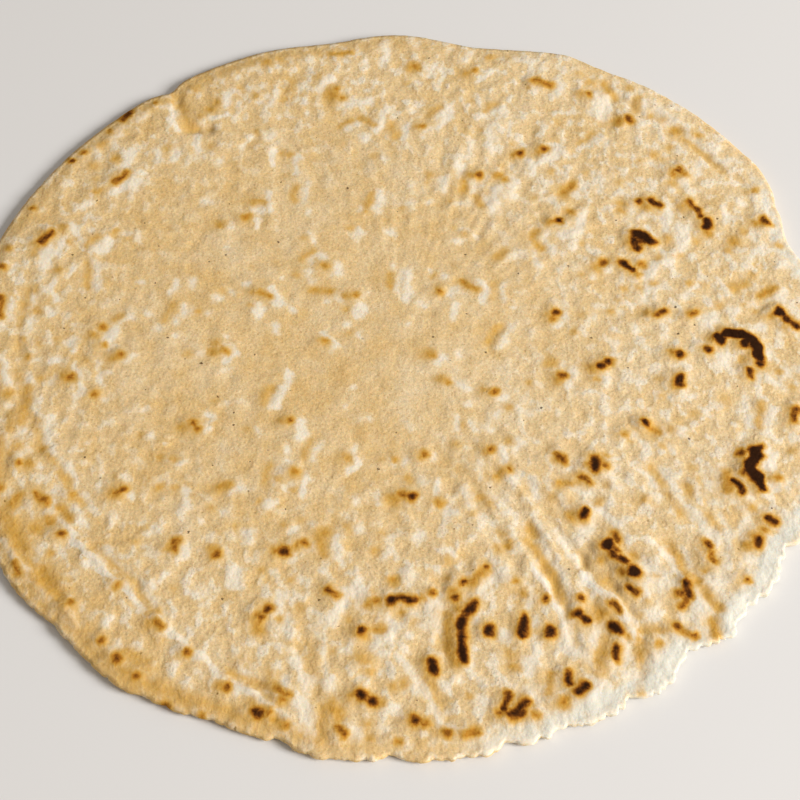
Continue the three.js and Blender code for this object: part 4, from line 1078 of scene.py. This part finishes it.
# %% The tones of the upper face
RIM_SHADE_AT_EDGE, RIM_SHADE_INSIDE = 0.45, 2.2       # painted shade of the rim, strongest inside the edge
DRY_AND_LIT_GAIN, DRY_AND_LIT_SPOTS, SPOTS_PER_RADIAN = 1.7, 0.5, 50
EDGE_SHADE, EDGE_POWER = 0.4, 6                # painted shade: the very edge is less white
GROOVE_DEPTH, GROOVE_WIDTH = 0.2, 1           # the most that counts, and the half width
# Grooves are painted golden and less white: painted shade.
GROOVE_SHADE, GROOVE_SHADE_DIMMING = 0.6, 4
LUMPLESS_PLACE, LUMPLESS_FROM, LUMPLESS_TO = (-14, 6), 18, 66
SWELLING_SHADE, RIGHT_LIGHT = 0.22, 0.1       # painted shade in hollows, painted light on the right
RIGHT_TILT, RIGHT_REACH = 0.1, 50


def grooves(x, y):
    """Gives for one groove after another how deep it is at each point, in mm: its depth, but no
    more than 0.2, as worn, times a bell across its line."""
    bent_x, bent_y = bent(x, y)
    strength = worn(x, y)
    for height, _, line in CREASES:
        if height < 0:
            across = bell(distance_to(line, bent_x, bent_y), GROOVE_WIDTH)
            yield min(-height, GROOVE_DEPTH) * strength * across


angle = np.arctan2(y, x)
# The rim is painted golden where it faces away from the light: painted shade.
rim_shade = shaded_rim(angle) * rim * (RIM_SHADE_AT_EDGE + RIM_SHADE_INSIDE * (1 - rim))
toast_and_shade = np.maximum(toasted_and_shaded(x, y, MARKS), rim_shade)
pale = paleness_and_highlight(x, y)
spots = 1 + DRY_AND_LIT_SPOTS * hills(angle * SPOTS_PER_RADIAN, rim * 2, size=1, seed=97)
# The rim facing the light is a dull white: partly drying, partly painted light.
dry_and_lit = np.minimum(DRY_AND_LIT_GAIN * rim, 1) * dry_and_lit_rim(angle) * spots
dry_and_lit *= 1 - EDGE_SHADE * rim**EDGE_POWER
# Each groove is painted shade: golden tones of toasting and less of the rim's white.
for groove in grooves(x, y):
    toast_and_shade = np.maximum(toast_and_shade, GROOVE_SHADE * groove)
    dry_and_lit = dry_and_lit * (1 - GROOVE_SHADE_DIMMING * groove)
lumpiness = smooth_step(distance_to([LUMPLESS_PLACE], x, y), LUMPLESS_FROM, LUMPLESS_TO)
# Painted shade and light: more golden in the hollows, paler on the swellings and towards the right,
# where the light is.
shade_and_light = SWELLING_SHADE * swelling
shade_and_light += RIGHT_LIGHT * smooth_step(x - RIGHT_TILT * y, -RIGHT_REACH, RIGHT_REACH)
print("toasted over", round(100 * (toast_and_shade > 0.3).mean(), 1), "percent,",
      "pale over", round(100 * (pale > 0.3).mean(), 1))

# %% The side and the underside
SIDE_ROWS = [  # inset from the edge, height, how far it crumbles
    (-0.05, 1.0, 0.08), (-0.12, 0.8, 0.12), (-0.05, 0.6, 0.14), (0.12, 0.42, 0.14),
    (0.45, 0.28, 0.12), (1.0, 0.17, 0.08), (1.8, 0.08, 0.04), (2.8, 0.02, 0.01),
]
FRAYED_TO, SMOOTH_FROM = 0.3, 3           # insets between which the fraying fades
CRUMBS_PER_RADIAN, LIFTS_PER_RADIAN = 60, 70
CRUMB_CHANGE, LIFT_CHANGE = 0.7, 0.6      # from row to row, in sizes of a hill
LIFT_SHARE, LOWEST = 0.8, 0.01
UNDERSIDE_INSET = 3.6
HOLLOW_DEPTH, HOLLOW_POWER = 0.35, 20


def side(cells):
    """Rings of points from the rim to the underside: each row has its own inset and height,
    moved by random hills that change from row to row."""
    angle = FIRST_ANGLE + np.arange(4 * cells) * 2 * math.pi / (4 * cells)
    edge = MEAN_RADIUS + outline(angle, SWELLS)
    rings = []
    for row, (inset, level, crumble) in enumerate(SIDE_ROWS):
        fraying = ragged(angle) * (1 - smooth_step(inset, FRAYED_TO, SMOOTH_FROM))
        lump = crumble * hills(angle * CRUMBS_PER_RADIAN, row * CRUMB_CHANGE, size=1, seed=95)
        lift = hills(angle * LIFTS_PER_RADIAN, row * LIFT_CHANGE, size=1, seed=96)
        radius = edge + fraying - inset + lump
        height = np.maximum(level + LIFT_SHARE * crumble * lift, LOWEST)
        rings.append((radius * np.cos(angle), radius * np.sin(angle), height))
    return [np.stack(part) for part in zip(*rings)]


def underside(cells):
    """Points of the underside, flat on what it lies on except for shallow hollows: random
    hills of two sizes where they are above 0, and none at the border."""
    share, angle = disc_grid(cells)
    radius = (MEAN_RADIUS + outline(angle, SWELLS) - UNDERSIDE_INSET) * share
    x, y = radius * np.cos(angle), radius * np.sin(angle)
    hollow = 0.5 * hills(x, y, size=8, seed=101) + 0.35 * hills(x, y, size=3.5, seed=102)
    return x, y, HOLLOW_DEPTH * np.maximum(hollow, 0) * (1 - share**HOLLOW_POWER)


side_x, side_y, side_z = side(CELLS)
under_x, under_y, under_z = underside(CELLS // 2)
print("side points", side_x.size, "underside points", under_x.size)

# %% [markdown]
# ## The underside's own marks
# It was the first side on the griddle, so it has more and rounder spots, none of them as
# black as the worst of the upper face. Nobody looks at it closely, so they aren't listed but
# scattered from a fixed seed, which gives the same spots each time.

# %% The underside's marks
UNDER_MARKS, UNDER_RADIUS = 230, 74
LEAST_WIDTH, MORE_WIDTH, WIDTH_POWER = 1.6, 2.6, 2     # a high power makes most marks small
LEAST_DARKNESS, MORE_DARKNESS, DARKNESS_POWER = 0.25, 0.6, 1.5
SIDE_RIM_SHADE, SIDE_DRY_AND_LIT = 0.45, 0.6                   # of the rim's


def scattered_marks(count, seed):
    """Dots evenly spread over the disc: the radius is the root of a random share, so that
    equal areas get equal numbers."""
    rng = np.random.default_rng(seed)
    radius = UNDER_RADIUS * np.sqrt(rng.random(count))
    angle = rng.uniform(0, 2 * math.pi, count)
    width = LEAST_WIDTH + MORE_WIDTH * rng.random(count) ** WIDTH_POWER
    dark = LEAST_DARKNESS + MORE_DARKNESS * rng.random(count) ** DARKNESS_POWER
    dots = np.stack([radius * np.cos(angle), radius * np.sin(angle), width, dark], axis=1)
    return [([(x, y)], width, dark) for x, y, width, dark in dots]


under_toast = toasted_and_shaded(under_x, under_y, scattered_marks(UNDER_MARKS, seed=7))
side_angle = np.arctan2(side_y, side_x)
# The side takes the marks and a share of the rim's painted shade.
side_toast_and_shade = np.maximum(toasted_and_shaded(side_x, side_y, MARKS), SIDE_RIM_SHADE * shaded_rim(side_angle))
# The side takes a share of the rim's dull white: drying and painted light.
side_dry_and_lit = SIDE_DRY_AND_LIT * dry_and_lit_rim(side_angle)
print("the underside is toasted over", round(100 * (under_toast > 0.4).mean()), "percent")

# %% [markdown]
# ## Joining the skin
# The tortilla is one closed skin, and so must the mesh be. Separate sheets could be merged
# afterwards, but here every part is a list of points and a list of faces that name points by
# number. The upper grid's border is the side's first ring. The underside has half as many
# border points, so three triangles join each of its stretches to two of the side's last ring.

# %% The faces
def grid_faces(cells, start, flip):
    """One face for each square of the grid, turned over if it is seen from below."""
    number = start + np.arange((cells + 1) ** 2).reshape(cells + 1, cells + 1)
    quads = np.stack([number[:-1, :-1], number[1:, :-1], number[1:, 1:], number[:-1, 1:]], axis=-1)
    quads = quads.reshape(-1, 4)
    return quads[:, ::-1] if flip else quads


def ring_faces(upper, lower):
    """One face for each stretch between two rings with equally many points."""
    return np.stack([upper, lower, np.roll(lower, -1), np.roll(upper, -1)], axis=1)


def halving_faces(fine, coarse):
    """Three triangles for each stretch of the coarse ring and the two stretches above it."""
    first, second, third = fine[0::2], fine[1::2], np.roll(fine[0::2], -1)
    onward = np.roll(coarse, -1)
    return np.concatenate([
        np.stack([first, coarse, second], axis=1),
        np.stack([second, coarse, onward], axis=1),
        np.stack([second, onward, third], axis=1),
    ])


side_start = x.size
under_start = side_start + side_x.size
rings = [border(CELLS)] + list(side_start + np.arange(side_x.size).reshape(side_x.shape))
quads = [grid_faces(CELLS, 0, False), grid_faces(CELLS // 2, under_start, True)]
quads += [ring_faces(upper, lower) for upper, lower in zip(rings, rings[1:])]
quads = np.concatenate(quads)
triangles = halving_faces(rings[-1], under_start + border(CELLS // 2))
print(len(quads), "squares and", len(triangles), "triangles:",
      2 * len(quads) + len(triangles), "in all")

# %% The mesh
def joined(upper, middle, lower):
    """One long array from the values of the upper face, the side and the underside."""
    return np.concatenate([np.ravel(upper), np.ravel(middle), np.ravel(lower)])


points = np.stack([
    joined(x, side_x, under_x) - CENTRE[0],
    joined(y, side_y, under_y) - CENTRE[1],
    joined(height, side_z, under_z),
], axis=1) * MM


def cut_squares(quads, points):
    """Two triangles for each square, cut along the shorter of its two diagonals, so that thin
    features that cross leaning squares stay even."""
    first, second, third, fourth = (points[quads[:, i]] for i in range(4))
    along = np.linalg.norm(third - first, axis=1) <= np.linalg.norm(fourth - second, axis=1)
    turned = np.where(along[:, None], quads, np.roll(quads, -1, axis=1))
    return np.concatenate([turned[:, [0, 1, 2]], turned[:, [0, 2, 3]]])


triangles = np.concatenate([cut_squares(quads, points), triangles])

mesh = bpy.data.meshes.new("toasted_tortilla")
mesh.from_pydata(points.tolist(), [], triangles.tolist())
mesh.polygons.foreach_set("use_smooth", np.ones(len(mesh.polygons), bool))
mesh.update()
print("mesh is", "sound" if not mesh.validate() else "mended", "with", len(mesh.vertices), "points")

# %% The values that the material reads
# The underside's hollows are painted more golden: painted shade.
HOLLOW_SHADE = -0.3
SIDE_LUMPINESS, UNDERSIDE_LUMPINESS = 1.0, 0.6


def keep(mesh, name, values):
    """Stores one number for each point of the mesh, under a name that a material can read."""
    attribute = mesh.attributes.new(name, "FLOAT", "POINT")
    attribute.data.foreach_set("value", values.astype(np.float32))
    print("kept", name, "from", values.min().round(2), "to", values.max().round(2))


no_side, no_under = np.zeros(side_x.shape), np.zeros(under_x.shape)
keep(mesh, "toast_and_shade", joined(toast_and_shade, side_toast_and_shade, under_toast))
keep(mesh, "pale", joined(pale, no_side, no_under))
keep(mesh, "dry_and_lit", joined(dry_and_lit, side_dry_and_lit, no_under))
keep(mesh, "shade_and_light", joined(shade_and_light, no_side, HOLLOW_SHADE * under_z))
keep(mesh, "lumpiness", joined(lumpiness, no_side + SIDE_LUMPINESS, no_under + UNDERSIDE_LUMPINESS))

# %% The piece
tortilla = bpy.data.objects.new("toasted_tortilla", mesh)
bpy.context.scene.collection.objects.link(tortilla)
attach(tortilla, "root")
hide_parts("tortilla")
print("piece", tortilla.name, "stands for the node tortilla")

# %% [markdown]
# ## Tools for materials
# A material is a tree of nodes. It could be drawn in the node editor, but a tree that code
# makes can be read line by line. These few helpers each add one kind of node, set its fixed
# values and link what is given as another node's output.

# %% Node helpers that read a value
def put(tree, value, socket):
    """Links an output to the socket, or sets the socket to a fixed value."""
    if isinstance(value, bpy.types.NodeSocket):
        tree.links.new(value, socket)
    else:
        socket.default_value = value


def attribute(tree, name):
    """The number that is kept for each point of the mesh under this name."""
    node = tree.nodes.new("ShaderNodeAttribute")
    node.attribute_name = name
    return node.outputs["Fac"]


def noise(tree, size, detail=2, roughness=0.5, length=1.0, distortion=0.0):
    """Random values round a half, with hills of the given size in mm, and longer along Y by
    the given factor. Distortion bends the hills."""
    place = tree.nodes.new("ShaderNodeTexCoord")
    shrunk = tree.nodes.new("ShaderNodeVectorMath")
    shrunk.operation = "MULTIPLY"
    shrunk.inputs[1].default_value = (1, 1 / length, 1)
    tree.links.new(place.outputs["Object"], shrunk.inputs[0])
    node = tree.nodes.new("ShaderNodeTexNoise")
    node.inputs["Scale"].default_value = 1 / (size * MM)
    node.inputs["Detail"].default_value = detail
    node.inputs["Roughness"].default_value = roughness
    node.inputs["Distortion"].default_value = distortion
    tree.links.new(shrunk.outputs["Vector"], node.inputs["Vector"])
    return node.outputs["Fac"]


print("helpers that read:", ", ".join(f.__name__ for f in (attribute, noise)))

# %% Node helpers for sums and steps
def maths(tree, operation, first, second=0.0, third=0.0):
    """The outcome of a sum on up to three values."""
    node = tree.nodes.new("ShaderNodeMath")
    node.operation = operation
    put(tree, first, node.inputs[0])
    put(tree, second, node.inputs[1])
    put(tree, third, node.inputs[2])
    return node.outputs[0]


def spread(tree, value, gain, middle=0.0):
    """The value's distance from a half, times the gain, plus the middle."""
    return maths(tree, "MULTIPLY_ADD", value, gain, middle - gain / 2)


def step(tree, value, low, high):
    """0 below low, 1 above high and a smooth step between; with low above high, the reverse."""
    node = tree.nodes.new("ShaderNodeMapRange")
    node.interpolation_type = "SMOOTHSTEP"
    put(tree, value, node.inputs["Value"])
    node.inputs["From Min"].default_value = low
    node.inputs["From Max"].default_value = high
    return node.outputs["Result"]


print("helpers for sums:", ", ".join(f.__name__ for f in (maths, spread, step)))

# %% Node helpers for colours
MIX_FIRST, MIX_SECOND, MIX_RESULT = 6, 7, 2   # the Mix node's sockets for colours


def blend(tree, factor, first, second):
    """A mix of two colours: the second where the factor is 1."""
    node = tree.nodes.new("ShaderNodeMix")
    node.data_type = "RGBA"
    put(tree, factor, node.inputs["Factor"])
    put(tree, first, node.inputs[MIX_FIRST])
    put(tree, second, node.inputs[MIX_SECOND])
    return node.outputs[MIX_RESULT]


def ramp(tree, value, stops):
    """A colour for each value, blended between the stops, and how much it covers, which is
    the fourth number of the stops' colours."""
    node = tree.nodes.new("ShaderNodeValToRGB")
    put(tree, value, node.inputs["Fac"])
    elements = node.color_ramp.elements
    for index, (place, colour) in ((0, stops[0]), (1, stops[-1])):
        elements[index].position = place
        elements[index].color = colour
    for place, colour in stops[1:-1]:
        elements.new(place).color = colour
    return node.outputs["Color"], node.outputs["Alpha"]


print("helpers for colours:", ", ".join(f.__name__ for f in (blend, ramp)))

# %% [markdown]
# ## Toasted dough
# Corn dough is a warm pale yellow that is never one colour: it is painted golden in the
# hollows and paler on the swellings and on the right, towards the light, which is painted shade
# and light, and nearly white where flour stays and where flanks face the light, which is partly
# painted highlight. A painted picture would blur when one comes close, so the colours are
# worked out at every point. One colour ramp holds these tones.
# Small lumps have dried to a paler cream. A second ramp holds the tones of toasting, from a
# clear golden blush through amber and rust to black, and noise breaks the edges of the marks.

# %% The colours of the dough
DOUGH_TONES = [  # place on the ramp, colour
    (0.0, (0.62, 0.38, 0.12, 1)), (0.28, (0.69, 0.48, 0.215, 1)),
    (0.5, (0.74, 0.565, 0.32, 1)), (0.72, (0.775, 0.65, 0.45, 1)),
    (0.86, (0.79, 0.705, 0.55, 1)), (1.0, (0.805, 0.765, 0.655, 1)),
]
TOAST_TONES = [  # the fourth number is how much the tone covers the dough's
    (0.03, (0.64, 0.40, 0.12, 0)), (0.12, (0.64, 0.40, 0.12, 0.4)),
    (0.22, (0.64, 0.39, 0.11, 0.85)), (0.34, (0.59, 0.335, 0.07, 1)),
    (0.46, (0.49, 0.225, 0.027, 1)), (0.58, (0.29, 0.108, 0.011, 1)),
    (0.72, (0.12, 0.036, 0.005, 1)), (0.9, (0.03, 0.010, 0.003, 1)),
]
# The rim's dull white: partly drying, partly painted light, greyed a little as painted shade of its
# crumbly teeth.
DRY_AND_LIT_WHITE = (0.67, 0.643, 0.54, 1)
SPECK = (0.40, 0.23, 0.08, 1)
FLECK = (0.07, 0.035, 0.012, 1)
print(len(DOUGH_TONES), "tones of dough and", len(TOAST_TONES), "of toasting")

# %% Plain dough
CREAM_PLACE = 0.33     # the plain dough's place on the ramp
PLAIN_PLACE = 0.78     # the palest that dough is without flour
LUMP_SIZE, LUMP_LENGTH, LUMP_ROUGHNESS = 2.1, 1.4, 0.45
LUMP_PALENESS = 0.42


def lump_noise(tree):
    """Soft hills of the size of the dough's small lumps, a little longer along Y."""
    return noise(tree, LUMP_SIZE, detail=2, roughness=LUMP_ROUGHNESS, length=LUMP_LENGTH)


def lumps(tree):
    """How much a place is on a small lump, from 0 to 1: a step on noise, times the
    lumpiness."""
    height = step(tree, lump_noise(tree), low=0.5, high=0.66)
    return maths(tree, "MULTIPLY", height, attribute(tree, "lumpiness"))


def mottled_place(tree):
    """The plain dough's place on the ramp: the painted shade of the hollows and painted light of
    the swellings and the right side, shifted by slow, middling and fine noise round the plain
    dough's place, raised by the lumps and kept below the tones of flour."""
    slow = spread(tree, noise(tree, size=14), gain=0.45, middle=CREAM_PLACE)
    place = maths(tree, "ADD", attribute(tree, "shade_and_light"), slow)
    place = maths(tree, "ADD", place, spread(tree, noise(tree, size=3.6), gain=0.42))
    fine = noise(tree, size=1.2, detail=3, roughness=0.6)
    place = maths(tree, "ADD", place, spread(tree, fine, gain=0.18))
    place = maths(tree, "MULTIPLY_ADD", lumps(tree), LUMP_PALENESS, place)
    return maths(tree, "MINIMUM", place, PLAIN_PLACE)


print("plain dough lies round", CREAM_PLACE, "and at most at", PLAIN_PLACE, "of the ramp")

# %% Flour, painted highlight and the rim's dull white
WHITE_PLACE = 0.86     # of a pale patch; the whitest ones go on to 1
PATCH_COVER = 0.95


def dough_colour(tree):
    """The tone at the mottled place, drawn towards white by the pale patches, which are partly
    painted highlight, and then blended to the dull white of the rim, which is partly drying and
    partly painted light. Noise shifts where the pale patches and the white rim end."""
    place = mottled_place(tree)
    pale = attribute(tree, "pale")
    shifted = maths(tree, "ADD", pale, spread(tree, noise(tree, size=1.3), gain=0.7))
    whitest = step(tree, pale, low=1, high=1.6)
    white = maths(tree, "MULTIPLY_ADD", whitest, 1 - WHITE_PLACE, WHITE_PLACE)
    whiter = maths(tree, "SUBTRACT", white, place)
    share = maths(tree, "MULTIPLY", step(tree, shifted, low=0.05, high=0.7), PATCH_COVER)
    place = maths(tree, "MULTIPLY_ADD", whiter, share, place)
    shift = spread(tree, noise(tree, size=1.3), gain=0.35)
    dried_and_lit = step(tree, maths(tree, "ADD", attribute(tree, "dry_and_lit"), shift), low=0.1, high=0.75)
    return blend(tree, dried_and_lit, ramp(tree, place, DOUGH_TONES)[0], DRY_AND_LIT_WHITE)


print("flour lies from", WHITE_PLACE, "to 1 of the ramp")

# %% [markdown]
# Meal is ground corn, so the colour changes from grain to grain, and a few bits of husk stay
# as brown flecks. Grains as real points would be far too many; noise half a millimetre in
# size and cells round random points give the same look. Pale patches and the rim's dull white
# hide both.

# %% Grains of meal
GRAIN_SIZE, GRAIN_ROUGHNESS, GRAIN_CONTRAST = 0.5, 0.8, 0.75


def whitened(tree):
    """Paleness or the rim's dull white, whichever is more."""
    return maths(tree, "MAXIMUM", attribute(tree, "pale"), attribute(tree, "dry_and_lit"))


def floury(tree, colour):
    """The colour, lighter and darker from grain to grain of the meal, and evener where the
    dough is pale or has the rim's dull white."""
    node = tree.nodes.new("ShaderNodeHueSaturation")
    lively = step(tree, whitened(tree), low=1.1, high=0)
    grains = noise(tree, GRAIN_SIZE, detail=2, roughness=GRAIN_ROUGHNESS)
    value = maths(tree, "MULTIPLY_ADD", spread(tree, grains, GRAIN_CONTRAST), lively, 1)
    put(tree, value, node.inputs["Value"])
    put(tree, colour, node.inputs["Color"])
    return node.outputs["Color"]


print("the meal's grains are about", GRAIN_SIZE, "mm wide")

# %% Flecks of husk
SPECK_RAGGEDNESS, RAG_SIZE = 2.5, 0.25
SPECK_CELL, SPECK_SHARE, SPECK_RADII, SPECK_COVER = 1.1, 0.35, (0.09, 0.17), 0.4
FLECK_CELL, FLECK_SHARE, FLECK_RADII, FLECK_COVER = 3.2, 0.09, (0.03, 0.07), 0.85


def specks(tree, cell, share, radii):
    """1 in the middle of a random share of the cells round random points, which are about as
    far apart as the cell size in mm. The speck's radius is between two shares of that size."""
    smallest, largest = radii
    place = tree.nodes.new("ShaderNodeTexCoord")
    cells = tree.nodes.new("ShaderNodeTexVoronoi")
    cells.voronoi_dimensions = "2D"
    cells.inputs["Scale"].default_value = 1 / (cell * MM)
    tree.links.new(place.outputs["Object"], cells.inputs["Vector"])
    number = tree.nodes.new("ShaderNodeSeparateColor")
    tree.links.new(cells.outputs["Color"], number.inputs["Color"])
    chosen = step(tree, number.outputs["Red"], low=1 - share, high=1.01 - share)
    radius = maths(tree, "MULTIPLY_ADD", number.outputs["Green"], largest - smallest, smallest)
    near = maths(tree, "DIVIDE", cells.outputs["Distance"], radius)
    ragged_shift = spread(tree, noise(tree, RAG_SIZE, detail=1), SPECK_RAGGEDNESS)
    near = maths(tree, "ADD", near, ragged_shift)
    return maths(tree, "MULTIPLY", chosen, step(tree, near, low=1.3, high=0.7))


def flecked_colour(tree, colour):
    """Small faint specks and a few dark flecks, but none where the dough is pale or has the rim's
    dull white.
    """
    bare = step(tree, whitened(tree), low=0.5, high=0.1)
    faint = specks(tree, SPECK_CELL, SPECK_SHARE, SPECK_RADII)
    faint = maths(tree, "MULTIPLY", faint, SPECK_COVER)
    colour = blend(tree, maths(tree, "MULTIPLY", faint, bare), colour, SPECK)
    flecks = specks(tree, FLECK_CELL, FLECK_SHARE, FLECK_RADII)
    flecks = maths(tree, "MULTIPLY", flecks, FLECK_COVER)
    return blend(tree, maths(tree, "MULTIPLY", flecks, bare), colour, FLECK)


print("flecks are up to", round(2 * FLECK_CELL * FLECK_RADII[1], 2), "mm wide")

# %% Toasting
def toasted_and_shaded_colour(tree, colour):
    """The toasting and its painted shade, made uneven by fine and middling noise, as a place on
    the ramp of toasting, whose tone covers the colour."""
    fine = noise(tree, size=0.9, detail=2, roughness=0.5, distortion=1.0)
    uneven = spread(tree, fine, gain=0.65, middle=1)
    middling = noise(tree, size=2.2, detail=1, distortion=0.5)
    uneven = maths(tree, "ADD", uneven, spread(tree, middling, gain=0.6))
    toast_and_shade = maths(tree, "MULTIPLY", attribute(tree, "toast_and_shade"), uneven)
    tone, cover = ramp(tree, toast_and_shade, TOAST_TONES)
    return blend(tree, cover, colour, tone), toast_and_shade


print("a toast of", TOAST_TONES[-1][0], "is black")

# %% [markdown]
# The surface is matt, as dry flour is, and only charred spots have a little sheen. Light goes
# a short way into the dough, which subsurface scattering shows as soft, warm shade. The
# finest bumps are too small for the mesh, so a Bump node bends the light there instead.

# %% The material
ROUGH, CHARRED_ROUGHNESS = 0.88, -0.15     # the plain dough's, and what char adds
SHEEN_LEVEL = 0.04
GLOW, GLOW_RADII, GLOW_DEPTH = 0.35, (1.0, 0.65, 0.4), 0.7
BUMP_HEIGHT, GRAIN_BUMP = 0.14, 0.85
LUMP_BUMP, LUMPY_BUMP = 1.3, 1.6           # everywhere, and what lumpiness adds


def bumps(tree):
    """The normal, bent by the grains and the lumps, which stand higher where it is lumpy."""
    grain = maths(tree, "MULTIPLY", noise(tree, size=0.6, detail=2, roughness=0.6), GRAIN_BUMP)
    share = maths(tree, "MULTIPLY_ADD", attribute(tree, "lumpiness"), LUMPY_BUMP, LUMP_BUMP)
    height = maths(tree, "MULTIPLY_ADD", lump_noise(tree), share, grain)
    bump = tree.nodes.new("ShaderNodeBump")
    bump.inputs["Strength"].default_value = 1.0
    bump.inputs["Distance"].default_value = BUMP_HEIGHT * MM
    tree.links.new(height, bump.inputs["Height"])
    return bump.outputs["Normal"]


def toasted_dough():
    """The whole material: floury, flecked dough under the toasting and painted shade, matt and
    bumpy.
    """
    material = bpy.data.materials.new("toasted_dough")
    material.use_nodes = True
    tree = material.node_tree
    shader = tree.nodes["Principled BSDF"]
    colour = flecked_colour(tree, floury(tree, dough_colour(tree)))
    colour, toast_and_shade = toasted_and_shaded_colour(tree, colour)
    tree.links.new(colour, shader.inputs["Base Color"])
    charred = step(tree, toast_and_shade, low=0.6, high=1.0)
    roughness = maths(tree, "MULTIPLY_ADD", charred, CHARRED_ROUGHNESS, ROUGH)
    tree.links.new(roughness, shader.inputs["Roughness"])
    shader.inputs["Specular IOR Level"].default_value = SHEEN_LEVEL
    shader.inputs["Subsurface Weight"].default_value = GLOW
    shader.inputs["Subsurface Radius"].default_value = GLOW_RADII
    shader.inputs["Subsurface Scale"].default_value = GLOW_DEPTH * MM
    tree.links.new(bumps(tree), shader.inputs["Normal"])
    return material


mesh.materials.append(toasted_dough())
print("material", mesh.materials[0].name, "with", len(mesh.materials[0].node_tree.nodes), "nodes")

# %% [markdown]
# ## The stage
# A pale floor, and a large soft light from the right and a little from the front, low enough
# that the blisters cast shade, with a weaker light all round. A sun would draw hard shadows;
# a light that is wide against its distance draws soft ones.

# %% The floor
FLOOR_SIZE = 6.0
FLOOR_GAP = 0.05
FLOOR_COLOUR = (0.72, 0.71, 0.69, 1)
FLOOR_ROUGHNESS = 0.9


def floor_material():
    """One pale matt colour."""
    material = bpy.data.materials.new("floor")
    material.use_nodes = True
    shader = material.node_tree.nodes["Principled BSDF"]
    shader.inputs["Base Color"].default_value = FLOOR_COLOUR
    shader.inputs["Roughness"].default_value = FLOOR_ROUGHNESS
    return material


half, level = FLOOR_SIZE / 2, -FLOOR_GAP * MM
corners = [(-half, -half, level), (half, -half, level), (half, half, level), (-half, half, level)]
floor_mesh = bpy.data.meshes.new("floor")
floor_mesh.from_pydata(corners, [], [(0, 1, 2, 3)])
floor_mesh.materials.append(floor_material())
floor = bpy.data.objects.new("floor", floor_mesh)
bpy.context.scene.collection.objects.link(floor)
print("floor of", FLOOR_SIZE, "m")

# %% The lights
KEY_DISTANCE = 1.45
KEY_ANGLE = math.radians(-20)
KEY_ELEVATION = math.radians(28)
KEY_SIZE = 0.6
KEY_POWER = 30.5
KEY_COLOUR = (1.0, 0.985, 0.985)
ROOM_COLOUR = (0.99, 0.925, 0.86, 1)
ROOM_STRENGTH = 0.38


def soft_light(name, distance, angle, elevation, size, power, colour):
    """A square light at a distance in metres, at an angle from +X and an elevation above the
    horizon, that faces the tortilla."""
    data = bpy.data.lights.new(name, "AREA")
    data.size = size
    data.energy = power
    data.color = colour
    light = bpy.data.objects.new(name, data)
    light.location = (
        distance * math.cos(elevation) * math.cos(angle),
        distance * math.cos(elevation) * math.sin(angle),
        distance * math.sin(elevation),
    )
    light.rotation_euler = (math.pi / 2 - elevation, 0, angle + math.pi / 2)
    bpy.context.scene.collection.objects.link(light)


soft_light("key", KEY_DISTANCE, KEY_ANGLE, KEY_ELEVATION, KEY_SIZE, KEY_POWER, KEY_COLOUR)
world = bpy.data.worlds.new("world")
bpy.context.scene.world = world
world.use_nodes = True
background = world.node_tree.nodes["Background"]
background.inputs["Color"].default_value = ROOM_COLOUR
background.inputs["Strength"].default_value = ROOM_STRENGTH
bpy.context.scene.view_settings.view_transform = "Standard"
